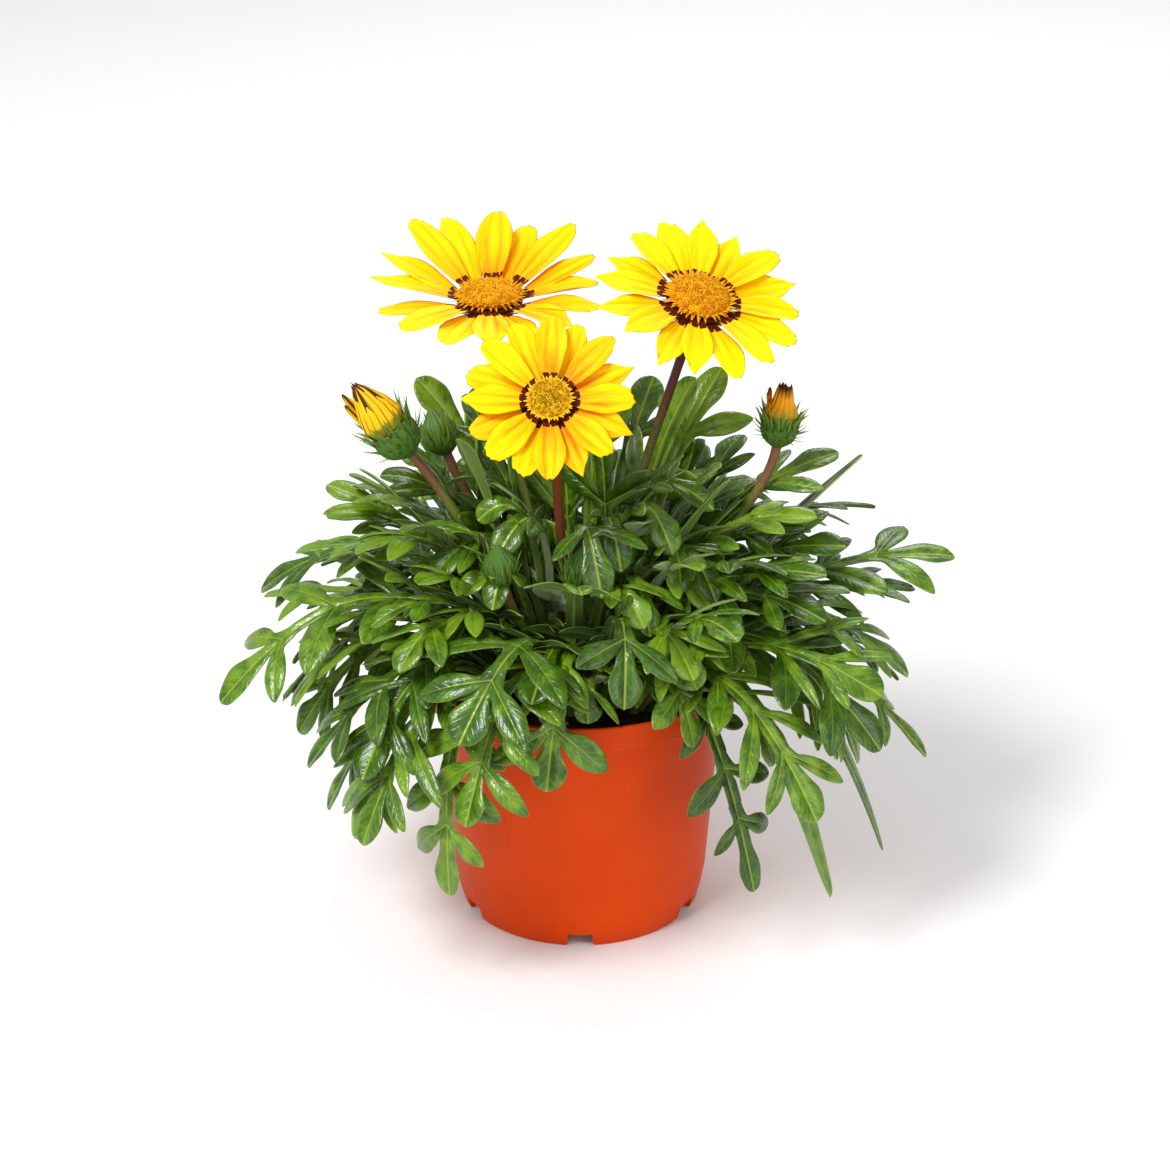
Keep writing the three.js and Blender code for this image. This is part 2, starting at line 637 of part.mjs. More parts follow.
// A green cup: a bowl-shaped body below the rays, or a closed pointed egg on a shut bud.
function budCup(bud) {
  const height = BUD.depth * bud.cup;
  const top = bud.rays > 0
    ? [[bud.cup - 0.4, 0], [0, 0]]
    : [[bud.cup * 0.92, 1.2], [bud.cup * 0.5, bud.cup * 0.8], [0, bud.cup * BUD.point]];
  const profile = [
    [0, -height],
    [STEM.radius + 0.3, -height],
    [bud.cup * 0.78, -height * 0.72],
    [bud.cup, -height * 0.36],
    ...top,
  ];
  return { height, body: turned(profile, BUD.sides) };
}

function addBud(bud) {
  const centre = new THREE.Vector3(...bud.centre);
  const axis = direction(bud.azimuth, bud.elevation);
  const place = placement(centre, axis);
  const cup = budCup(bud);
  const bracts = [
    ...bractRing({
      count: bud.bracts, radius: bud.cup - 0.7, height: -1.4,
      length: BRACT.upper * bud.cup, thick: BRACT.radius, spread: bud.spread * 0.5, seed: bud.seed,
    }),
    ...bractRing({
      count: bud.bracts - BUD.fewerBelow, radius: bud.cup - 1, height: -cup.height * 0.45,
      length: BRACT.lower * bud.cup, thick: BRACT.radius, spread: bud.spread * 1.7, seed: bud.seed + 20,
    }),
  ];
  const head = joined([solid(cup.body), ...bracts]);
  const placedHead = solid(surface(head).applyMatrix4(place));
  const stem = stemWithHead(bud.root, centre, axis, placedHead, cup.height);
  const name = bud.rays > 0 ? `bud_${bud.name}_stem_and_cup` : `green_bud_${bud.name}`;
  addPiece(name, stem, FINISH.bract);
  if (bud.rays > 0) {
    const rays = solid(surface(budRays(bud)).applyMatrix4(place));
    addPiece(`bud_${bud.name}_rays`, rays, FINISH.budRay);
  }
}

// ---------------------------------------------------------------- leaves

// The k-th small change of a leaf: a sunflower spiral of swings and lifts, whose root also
// moves in or out. The first one (k = 0) changes nothing.
function nudge(k) {
  const size = NUDGE_STEP * Math.sqrt(k);
  const turn = radians(k * GOLDEN_ANGLE);
  return {
    swing: size * Math.cos(turn),
    lift: radians(size * Math.sin(turn)),
    shift: ROOT_SHIFT * Math.sin(3 * turn),
  };
}

// The midrib: a parabola through the root, the knee and the tip, and the blade's own
// directions at each place along it (along, side and up).
function midrib(leaf, seed, change) {
  const azimuth = leaf.azimuth + change.swing;
  const out = direction(azimuth, 0);
  const across = direction(azimuth + 90, 0);
  const foot = [ROOT_RING[leaf.ring].radius + change.shift, FOOT_LEVEL];
  const lifted = ([reach, height]) => {
    const [dr, dz] = [reach - foot[0], height - foot[1]];
    const [c, s] = [Math.cos(change.lift), Math.sin(change.lift)];
    return [foot[0] + c * dr - s * dz, foot[1] + s * dr + c * dz];
  };
  const point = ([reach, height], aside) => new THREE.Vector3(0, 0, height)
    .addScaledVector(out, reach)
    .addScaledVector(across, aside);
  const root = point(foot, 0);
  const knee = point(lifted(leaf.knee), jitter(seed, 1, LEAF_JITTER.knee));
  const tip = point(lifted(leaf.tip), jitter(seed, 2, LEAF_JITTER.tip));
  const pull = knee.clone()
    .multiplyScalar(2)
    .addScaledVector(root, -0.5)
    .addScaledVector(tip, -0.5);
  const curve = new THREE.QuadraticBezierCurve3(root, pull, tip);
  const roll = radians(jitter(seed, 3, LEAF_JITTER.roll));
  const frame = (u) => {
    const along = curve.getTangentAt(u);
    const level = across.clone().addScaledVector(along, -across.dot(along)).normalize();
    const above = along.clone().cross(level);
    const [c, s] = [Math.cos(roll * u), Math.sin(roll * u)];
    const side = level.clone().multiplyScalar(c).addScaledVector(above, s);
    const up = above.clone().multiplyScalar(c).addScaledVector(level, -s);
    return { centre: curve.getPointAt(u), along, side, up };
  };
  return { frame, length: curve.getLength() };
}

// Half the width of the green strip beside the midrib: the stalk widens into the blade.
function wing(u) {
  return THREE.MathUtils.lerp(BLADE.petiole, BLADE.wing, Math.min(1, 2 * u));
}

// A row of the blade joins a place on a vein (spine) to a place on the outline (edge). spineUp
// and edgeUp are the ways that the blade is thick there, and keel is how far the vein stands
// out below. This one joins the midrib at u to the outline beside it.
function rowBeside(rib, u, half, width) {
  const { centre, side, up } = rib.frame(u);
  const edge = centre.clone()
    .addScaledVector(side, half * width)
    .addScaledVector(up, BLADE.trough * width);
  return { spine: centre, spineUp: up, edge, edgeUp: up, keel: BLADE.keel * (1 - u) };
}

// Where a pair stands between the first pair (0) and the last one (1).
function pairPlace(leaf, pair) {
  return leaf.pairs > 1 ? pair / (leaf.pairs - 1) : LONE_PAIR;
}

// One side lobe: the middle pairs are the longest, and each lobe differs a little. It leaves
// room for its neighbours.
function lobeShape(leaf, seed, rib, pair, half) {
  const count = 10 * (pair + 1) + half;
  const place = pairPlace(leaf, pair);
  const full = THREE.MathUtils.lerp(BLADE.lobeLeast, 1, Math.sin(Math.PI * (0.15 + 0.75 * place)));
  const length = leaf.lobe * full * (1 + jitter(seed, count, LEAF_JITTER.length));
  const fan = BLADE.lobeFan * (0.5 - place);
  const angle = radians(BLADE.lobeAngle + fan + jitter(seed, count + 3, LEAF_JITTER.angle));
  const span = BLADE.lastLobe - ROOT_RING[leaf.ring].firstLobe;
  const room = Math.sin(angle) * rib.length * (span / Math.max(1, leaf.pairs - 1));
  return {
    length,
    angle,
    halfWidth: Math.min(0.5 * BLADE.lobeWidth * length, BLADE.lobeRoom * room),
    curl: BLADE.curl + jitter(seed, count + 6, LEAF_JITTER.curl),
  };
}

// The rows of one side lobe, from its near root round its tip to its far root. All of them
// but the first and the last fan out from the place where its vein leaves the midrib.
function lobeRows(leaf, seed, rib, pair, half, spare) {
  const u = THREE.MathUtils.lerp(
    ROOT_RING[leaf.ring].firstLobe,
    BLADE.lastLobe,
    pairPlace(leaf, pair),
  );
  const reach = BLADE.lobeBase / rib.length;
  const near = rowBeside(rib, u - reach, half, wing(u) + spare);
  const far = rowBeside(rib, u + reach, half, wing(u) + spare);
  const { centre, along, side, up } = rib.frame(u);
  const lobe = lobeShape(leaf, seed, rib, pair, half);
  const [c, s] = [Math.cos(lobe.angle), Math.sin(lobe.angle)];
  const vein = along.clone().multiplyScalar(c).addScaledVector(side, half * s);
  const cross = along.clone().multiplyScalar(s).addScaledVector(side, -half * c);
  const fan = (edge, edgeUp) => {
    const keel = BLADE.keel * (1 - u);
    return { spine: centre, spineUp: up, edge, edgeUp, keel };
  };
  const outline = LOBE_OUTLINE.map(([t, width]) => {
    const edge = centre.clone()
      .addScaledVector(vein, t * (lobe.length + spare))
      .addScaledVector(cross, width * (lobe.halfWidth + spare))
      .addScaledVector(up, lobe.length * (BLADE.lift * t - lobe.curl * t * t));
    return fan(edge, up);
  });
  return [near, fan(near.edge, near.edgeUp), ...outline, fan(far.edge, far.edgeUp), far];
}

// The rows of one half of the blade, from the soil to the tip.
function bladeRows(leaf, seed, rib, half, spare) {
  const beside = (u, width) => rowBeside(rib, u, half, width + spare);
  const rows = [beside(0, BLADE.petiole), beside(BLADE.petioleEnd, wing(BLADE.petioleEnd))];
  for (let pair = 0; pair < leaf.pairs; pair += 1) {
    rows.push(...lobeRows(leaf, seed, rib, pair, half, spare));
  }
  if (leaf.pairs > 0) {
    const end = 0.5 * BLADE.lobeWidth * BLADE.endLobe * leaf.lobe;
    rows.push(...END_OUTLINE.map(([u, width]) => beside(u, end * width)));
  } else {
    const widths = SIMPLE_OUTLINE.map(([u, width]) => [u, 0.5 * leaf.lobe * width]);
    rows.push(...widths.map(([u, width]) => beside(u, Math.max(BLADE.wing, width))));
  }
  const { centre, up } = rib.frame(1);
  rows.push({ spine: centre, spineUp: up, edge: centre, edgeUp: up, keel: 0 });
  return rows;
}

// Both halves as one closed thin body, split into the same triangles above and below.
function leafBlade(leaf, seed, change, spare) {
  const rib = midrib(leaf, seed, change);
  const thick = BLADE.thickness / 2 + spare;
  const corners = [];
  for (const half of [1, -1]) {
    const rows = bladeRows(leaf, seed, rib, half, spare).map((row) => ({
      spineTop: row.spine.clone().addScaledVector(row.spineUp, thick),
      spineLow: row.spine.clone().addScaledVector(row.spineUp, -thick - row.keel),
      edgeTop: row.edge.clone().addScaledVector(row.edgeUp, thick),
      edgeLow: row.edge.clone().addScaledVector(row.edgeUp, -thick),
    }));
    const face = (...points) => corners.push(...(half > 0 ? points : points.toReversed()));
    const [first] = rows;
    face(first.spineTop, first.edgeTop, first.edgeLow);
    face(first.spineTop, first.edgeLow, first.spineLow);
    for (let i = 0; i + 1 < rows.length; i += 1) {
      const [a, b] = [rows[i], rows[i + 1]];
      face(a.spineTop, b.edgeTop, a.edgeTop);
      face(a.spineTop, b.spineTop, b.edgeTop);
      face(a.spineLow, a.edgeLow, b.edgeLow);
      face(a.spineLow, b.edgeLow, b.spineLow);
      face(a.edgeTop, b.edgeTop, b.edgeLow);
      face(a.edgeTop, b.edgeLow, a.edgeLow);
    }
  }
  return solid(new THREE.BufferGeometry().setFromPoints(corners));
}

function boxesMeet(a, b) {
  return [0, 1, 2].every((i) => a.min[i] < b.max[i] && b.min[i] < a.max[i]);
}

function isClear(candidate) {
  const box = candidate.boundingBox();
  return obstacles.every((other) => !boxesMeet(box, other.boundingBox())
    || candidate.intersect(other).isEmpty());
}

// A leaf takes the first small change of direction at which it touches nothing.
function addLeaf(leaf, index) {
  const seed = index + 1;
  const name = `leaf_${String(seed).padStart(2, '0')}`;
  for (let k = 0; k < NUDGE_LIMIT; k += 1) {
    if (isClear(leafBlade(leaf, seed, nudge(k), CLEARANCE))) {
      addPiece(name, leafBlade(leaf, seed, nudge(k), 0), FINISH.leaf);
      const { frame } = midrib(leaf, seed, nudge(k));
      addSocket(frame(0).centre, frame(BLADE.petioleEnd).centre, BLADE.petiole + STALK_ROOM);
      return;
    }
  }
  throw new Error(`${name} finds no clear place`);
}

// ---------------------------------------------------------------- the whole plant

addPiece('pot', pot(), FINISH.pot);
FLOWERS.forEach(addFlower);
BUDS.forEach(addBud);
LEAVES.forEach(addLeaf);
let soil = soilFill();
for (const socket of sockets) soil = soil.subtract(socketHole(socket));
addPiece('soil', soil, FINISH.soil);

const bounds = new THREE.Box3().setFromObject(plant);
plant.position.set(-(bounds.min.x + bounds.max.x) / 2, -(bounds.min.y + bounds.max.y) / 2, 0);
plant.updateMatrixWorld(true);

export default plant;
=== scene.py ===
"""Looks of a potted gazania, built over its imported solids.

Every shape is worked out in millimetres from the pot's axis and the surface that the pot stands
on, as in the part's source. It becomes metres in the row frame when its mesh is made.
"""

import logging
import math
from collections.abc import Callable
from dataclasses import dataclass
from enum import Enum
from functools import partial

import bpy
import numpy as np
from mathutils import Euler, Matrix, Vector


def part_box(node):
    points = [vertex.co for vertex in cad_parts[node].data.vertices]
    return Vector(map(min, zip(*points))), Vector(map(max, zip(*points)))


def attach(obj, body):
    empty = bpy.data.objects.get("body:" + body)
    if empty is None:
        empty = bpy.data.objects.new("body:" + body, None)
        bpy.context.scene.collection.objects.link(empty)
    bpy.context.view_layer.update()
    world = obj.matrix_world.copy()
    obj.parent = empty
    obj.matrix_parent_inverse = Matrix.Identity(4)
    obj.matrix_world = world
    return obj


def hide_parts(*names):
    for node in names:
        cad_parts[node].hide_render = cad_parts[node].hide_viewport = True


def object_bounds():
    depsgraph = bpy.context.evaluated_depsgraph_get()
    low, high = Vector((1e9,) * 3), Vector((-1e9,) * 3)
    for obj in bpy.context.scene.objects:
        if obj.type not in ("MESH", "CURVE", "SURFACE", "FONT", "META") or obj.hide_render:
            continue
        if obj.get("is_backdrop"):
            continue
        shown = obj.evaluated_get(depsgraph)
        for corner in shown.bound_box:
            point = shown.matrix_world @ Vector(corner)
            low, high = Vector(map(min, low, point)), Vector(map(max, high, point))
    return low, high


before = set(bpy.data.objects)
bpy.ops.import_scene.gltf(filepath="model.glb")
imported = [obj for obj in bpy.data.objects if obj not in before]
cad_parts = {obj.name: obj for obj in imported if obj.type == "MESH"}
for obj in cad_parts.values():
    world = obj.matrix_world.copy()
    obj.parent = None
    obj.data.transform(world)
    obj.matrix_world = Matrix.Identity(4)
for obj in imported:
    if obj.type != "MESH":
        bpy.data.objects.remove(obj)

log = logging.getLogger("gazania")
Array = np.ndarray

MM = 0.001
WELD_CELL = 0.001  # mm
GOLDEN_ANGLE = 137.508  # degrees
GAP = 0.3  # air between two solids that touch
FOOT_LEVEL = 80.0  # where stems and leaf stalks end, below the soil's top


# ---------------------------------------------------------------- numbers and curves


def draw(seed: float, count: Array | float) -> Array:
    """A repeatable number from 0 to 1 for a seed and a counter, the same as in the solids.

    Args:
        seed: which piece draws.
        count: which of the piece's numbers this is.

    Returns:
        The fraction part of 43758.5453 sin(12.9898 seed + 78.233 count).
    """
    value = np.sin(seed * 12.9898 + np.asarray(count, float) * 78.233) * 43758.5453
    return value - np.floor(value)


def jitter(seed: float, count: Array | float, size: float) -> Array:
    """A repeatable number from -size to size."""
    return (2 * draw(seed, count) - 1) * size


def unit(vectors: Array) -> Array:
    """The vectors along the last axis, each with a length of 1."""
    return vectors / np.linalg.norm(vectors, axis=-1, keepdims=True)


def direction(azimuth: float, elevation: float) -> Array:
    """The unit vector at an azimuth and an elevation in degrees."""
    a, e = math.radians(azimuth), math.radians(elevation)
    return np.array([math.cos(e) * math.cos(a), math.cos(e) * math.sin(a), math.sin(e)])


def lerp(a: Array | float, b: Array | float, t: Array | float) -> Array:
    """The value a share t of the way from a to b."""
    return a + (b - a) * t


def circle(sides: int) -> Array:
    """Even turns round a circle in radians, from 0, without the last one that closes it."""
    return np.linspace(0, 2 * math.pi, sides, endpoint=False)


def fullness(x: Array, power: int) -> Array:
    """How thick a rounded blade is at x: sqrt(1 - x^power), from 1 in its middle to 0 at 1."""
    return np.sqrt(np.maximum(0, 1 - x**power))


def smooth_path(knots: Array, count: int) -> Array:
    """Points on the Catmull-Rom curve through the knots.

    Args:
        knots: (n, d) values that the curve passes through, evenly spaced in its parameter.
        count: how many points to give back, the first and the last knot among them.

    Returns:
        (count, d) points. Between two knots the curve is the cubic whose slope at each knot is
        half the step from the knot before it to the knot after it.
    """
    knots = np.asarray(knots, float)
    ends = [2 * knots[:1] - knots[1:2], knots, 2 * knots[-1:] - knots[-2:-1]]
    padded = np.concatenate(ends)
    t = np.linspace(0, len(knots) - 1, count)
    i = np.minimum(t.astype(int), len(knots) - 2)
    f = (t - i)[:, None]
    a, b, c, d = (padded[i + k] for k in range(4))
    cubic = (-a + 3 * b - 3 * c + d) * f**3 + (2 * a - 5 * b + 4 * c - d) * f**2
    return 0.5 * (cubic + (c - a) * f + 2 * b)


def rounded(profile: Array, radius: float, steps: int) -> Array:
    """A profile with every inner corner turned into a small arc.

    Args:
        profile: (n, 2) corners.
        radius: how far from a corner its arc begins, at most 0.45 of a side.
        steps: points to an arc.

    Returns:
        The points, where each corner p becomes the parabola from p - r to p + r pulled to p.
    """
    profile = np.asarray(profile, float)
    before, corner, after = profile[:-2], profile[1:-1], profile[2:]
    back, on = before - corner, after - corner
    reach_back = np.minimum(radius / np.linalg.norm(back, axis=1), 0.45)[:, None, None]
    reach_on = np.minimum(radius / np.linalg.norm(on, axis=1), 0.45)[:, None, None]
    t = np.linspace(0, 1, steps)[None, :, None]
    arcs = (
        corner[:, None]
        + (1 - t) ** 2 * reach_back * back[:, None]
        + t**2 * reach_on * on[:, None]
    )
    return np.concatenate([profile[:1], arcs.reshape(-1, 2), profile[-1:]])


def turning(axis: Array) -> Array:
    """The smallest rotation, as a matrix, that carries +Z to the axis.

    Args:
        axis: a unit vector.

    Returns:
        I + K + K K / (1 + z), where K is the cross matrix of +Z x axis.
    """
    x, y, z = axis
    cross = np.array([[0, 0, x], [0, 0, y], [-x, -y, 0]], float)
    return np.eye(3) + cross + cross @ cross / (1 + z)


# ---------------------------------------------------------------- meshes


@dataclass
class Patch:
    """A net of faces: points in mm, quads of indices and named numbers for each point."""

    points: Array
    faces: Array
    marks: dict[str, Array]

    def turned_out(self) -> "Patch":
        """The patch with its faces outwards: they are turned over where its volume is below 0."""
        a, b, c, d = (self.points[self.faces[:, k]] for k in range(4))
        volume = np.sum(a * np.cross(b, c)) + np.sum(a * np.cross(c, d))
        faces = self.faces if volume > 0 else self.faces[:, ::-1]
        return Patch(self.points, faces, self.marks)


def net(points: Array, wrap: bool = False, flip: bool = False, **marks: Array | float) -> Patch:
    """A patch over a grid of points, or over each grid of a batch.

    Args:
        points: (..., rows, columns, 3) points in mm.
        wrap: joins the last column to the first.
        flip: turns the faces over; they face along rows x columns otherwise.
        marks: numbers for each point, or one for all of them.

    Returns:
        The patch, with one quad for each cell of a grid.
    """
    rows, columns = points.shape[-3:-1]
    last = columns if wrap else columns - 1
    i, j = np.meshgrid(np.arange(rows - 1), np.arange(last), indexing="ij")
    k = (j + 1) % columns
    here, below = i * columns, (i + 1) * columns
    cell = np.stack([here + j, below + j, below + k, here + k], axis=-1).reshape(-1, 4)
    grids = points.reshape(-1, rows * columns, 3)
    offset = np.arange(len(grids))[:, None, None] * rows * columns
    faces = (cell[None] + offset).reshape(-1, 4)
    spread = {
        name: np.broadcast_to(value, points.shape[:-1]).reshape(-1)
        for name, value in marks.items()
    }
    return Patch(points.reshape(-1, 3), faces[:, ::-1] if flip else faces, spread)


def revolved(radius: Array, height: Array, sides: int) -> Array:
    """Rings about +Z, one for each row: x = r cos a, y = r sin a, z = h at turn a.

    Args:
        radius: (rows, 1) radii, or (rows, sides) ones that change round the ring.
        height: (rows, 1) heights.
        sides: how many points a ring has.

    Returns:
        (rows, sides, 3) points.
    """
    a = circle(sides)
    return np.stack([radius * np.cos(a), radius * np.sin(a), height + 0 * a], axis=-1)


def joined(patches: list[Patch]) -> Patch:
    """Several patches as one, with 0 for a mark that a patch lacks."""
    names = sorted({name for patch in patches for name in patch.marks})
    starts = np.cumsum([0] + [len(patch.points) for patch in patches])
    return Patch(
        np.concatenate([patch.points for patch in patches]),
        np.concatenate([patch.faces + start for patch, start in zip(patches, starts)]),
        {
            name: np.concatenate(
                [patch.marks.get(name, np.zeros(len(patch.points))) for patch in patches]
            )
            for name in names
        },
    )


def welded(patch: Patch) -> tuple[Array, list[list[int]], dict[str, Array]]:
    """Points that lie together as one point, which closes seams and poles.

    Args:
        patch: the net to weld. Points in the same cell of WELD_CELL fall together.

    Returns:
        The points, the faces as lists (a quad that lost a corner is a triangle) and the marks.
    """
    grid = np.round(patch.points / WELD_CELL).astype(np.int64)
    _, first, place = np.unique(grid, axis=0, return_index=True, return_inverse=True)
    faces = place.reshape(-1)[patch.faces]
    same = faces == np.roll(faces, -1, axis=1)
    crossed = (faces[:, 0] == faces[:, 2]) | (faces[:, 1] == faces[:, 3])
    quads = faces[~same.any(axis=1) & ~crossed]
    one = (same.sum(axis=1) == 1) & ~crossed
    triangles = faces[one][~same[one]].reshape(-1, 3)
    marks = {name: value[first] for name, value in patch.marks.items()}
    return patch.points[first], quads.tolist() + triangles.tolist(), marks


# ---------------------------------------------------------------- materials

SCALED_SUM = {"operation": "MULTIPLY_ADD"}  # first input times the second, plus the third
FOLDED = {"operation": "PINGPONG"}  # runs up and down between 0 and the second input
SOFT_STEP = {"interpolation_type": "SMOOTHSTEP"}
BLEND = {"data_type": "RGBA"}  # input 0 is the share of input 7 laid over input 6


def linear(colour: str) -> tuple[float, float, float, float]:
    """An sRGB hex colour such as "#ffe010" as linear numbers with an alpha of 1."""
    parts = [int(colour[i : i + 2], 16) / 255 for i in (1, 3, 5)]
    red, green, blue = (
        part / 12.92 if part <= 0.04045 else ((part + 0.055) / 1.055) ** 2.4 for part in parts
    )
    return red, green, blue, 1.0


def add_node(
    tree: bpy.types.NodeTree,
    kind: str,
    out: str | int = 0,
    settings: dict | None = None,
    links: dict | None = None,
) -> bpy.types.NodeSocket | None:
    """Adds a node with its settings and its links.

    Args:
        tree: the material's node tree.
        kind: the node's type without "ShaderNode".
        out: the output to give back, by name or number.
        settings: the node's own settings. "ramp" gives a colour ramp its stops.
        links: what each input, by name or number, is set to or joined to.

    Returns:
        That output, or nothing where the node has none.
    """
    node = tree.nodes.new("ShaderNode" + kind)
    for name, value in (settings or {}).items():
        if name != "ramp":
            setattr(node, name, value)
            continue
        stops = node.color_ramp.elements
        while len(stops) < len(value):
            stops.new(0.5)
        for stop, (place, colour) in zip(stops, value):
            stop.position = place
            stop.color = linear(colour)
    for name, value in (links or {}).items():
        socket = node.inputs[name]
        if isinstance(value, bpy.types.NodeSocket):
            tree.links.new(value, socket)
        else:
            socket.default_value = value
    return node.outputs[out] if node.outputs else None


def new_material(name: str) -> tuple[bpy.types.Material, Callable]:
    """An empty material, and add_node for its tree."""
    material = bpy.data.materials.new(name)
    material.use_nodes = True
    material.node_tree.nodes.clear()
    return material, partial(add_node, material.node_tree)


def finished(material: bpy.types.Material, surface: dict) -> bpy.types.Material:
    """Closes a material with one principled shader.

    Args:
        material: the material.
        surface: the shader's inputs: what is the same all over as a number, and what changes
            over the surface as the output that it comes from.

    Returns:
        The material.
    """
    shader = add_node(material.node_tree, "BsdfPrincipled", "BSDF", None, surface)
    add_node(material.node_tree, "OutputMaterial", 0, None, {"Surface": shader})
    return material


@dataclass(frozen=True)
class LeafFinish:
    """Living leaf: a waxy cuticle above, which gives broad soft highlights, and white felt below,
    which is pale and matt where it is thick and shows as a thin light margin round the blade."""

    deep: str = "#152c02"
    fresh: str = "#40660a"
    young: str = "#6e921a"
    rib: str = "#a8b938"
    margin: str = "#98a85c"
    back: str = "#567020"
    felt: str = "#a9b58c"
    felt_rib: str = "#86a04a"
    mottle_mm: float = 6.0
    grain_mm: float = 1.1
    side_vein_mm: float = 3.4
    side_vein_slope: float = 1.1

    def build(self) -> bpy.types.Material:
        """Makes the leaf material from the blade's marks."""
        material, node = new_material("Gazania leaf, waxy above and felted below")
        line, rib, rim, under, thick, tone, along, away = (
            node("Attribute", "Fac", {"attribute_name": name})
            for name in ("line", "rib", "rim", "under", "felt", "tone", "along", "away")
        )
        place = node("TexCoord", "Object")
        mottle, grain = (
            node(
                "TexNoise", "Fac", None,
                {"Vector": place, "Scale": 1 / (size * MM), "Detail": detail},
            )
            for size, detail in ((self.mottle_mm, 3.0), (self.grain_mm, 2.0))
        )
        # The side veins are pale slanting lines, side_vein_mm apart along the midrib.
        slanted = node("Math", 0, SCALED_SUM, {0: away, 1: -self.side_vein_slope, 2: along})
        from_vein = node("Math", 0, FOLDED, {0: slanted, 1: self.side_vein_mm / 2})
        side_vein = node(
            "MapRange", 0, SOFT_STEP,
            {"Value": from_vein, "From Max": 0.55, "To Min": 1.0, "To Max": 0.0},
        )
        mixed = node("Math", 0, SCALED_SUM, {0: mottle, 1: 1.0, 2: tone})
        veined = node("Math", 0, SCALED_SUM, {0: side_vein, 1: 0.13, 2: mixed})
        ramp = [(0.3, self.deep), (0.72, self.fresh), (1.0, self.young)]
        green = node("ValToRGB", "Color", {"ramp": ramp}, {"Fac": veined})
        near_vein = node(
            "MapRange", 0, SOFT_STEP,
            {"Value": line, "From Min": 0.45, "From Max": 1.3, "To Min": 1.0, "To Max": 0.0},
        )
        on_rib = node("Math", 0, {"operation": "MULTIPLY"}, {0: near_vein, 1: rib})
        on_margin = node(
            "MapRange", 0, SOFT_STEP,
            {"Value": rim, "From Min": 0.955, "From Max": 1.0, "To Max": 0.75},
        )
        above = node("Mix", 2, BLEND, {0: on_rib, 6: green, 7: linear(self.rib)})
        edged = node("Mix", 2, BLEND, {0: on_margin, 6: above, 7: linear(self.margin)})
        hairy = node("Mix", 2, BLEND, {0: thick, 6: linear(self.back), 7: linear(self.felt)})
        below = node("Mix", 2, BLEND, {0: on_rib, 6: hairy, 7: linear(self.felt_rib)})
        sunk = node("Math", 0, SCALED_SUM, {0: side_vein, 1: -0.5, 2: grain})
        relief = node("Math", 0, SCALED_SUM, {0: mottle, 1: 3.0, 2: sunk})
        return finished(
            material,
            {
                "Base Color": node("Mix", 2, BLEND, {0: under, 6: edged, 7: below}),
                "Roughness": node(
                    "MapRange", 0, None, {"Value": under, "To Min": 0.25, "To Max": 0.8}
                ),
                "Normal": node(
                    "Bump", "Normal", None,
                    {"Height": relief, "Strength": 0.4, "Distance": 0.3 * MM},
                ),
                "IOR": 1.42,
                "Specular IOR Level": 0.7,
                "Subsurface Weight": 0.04,
                "Subsurface Radius": (0.4, 1.0, 0.2),
                "Subsurface Scale": 0.0008,
            },
        )


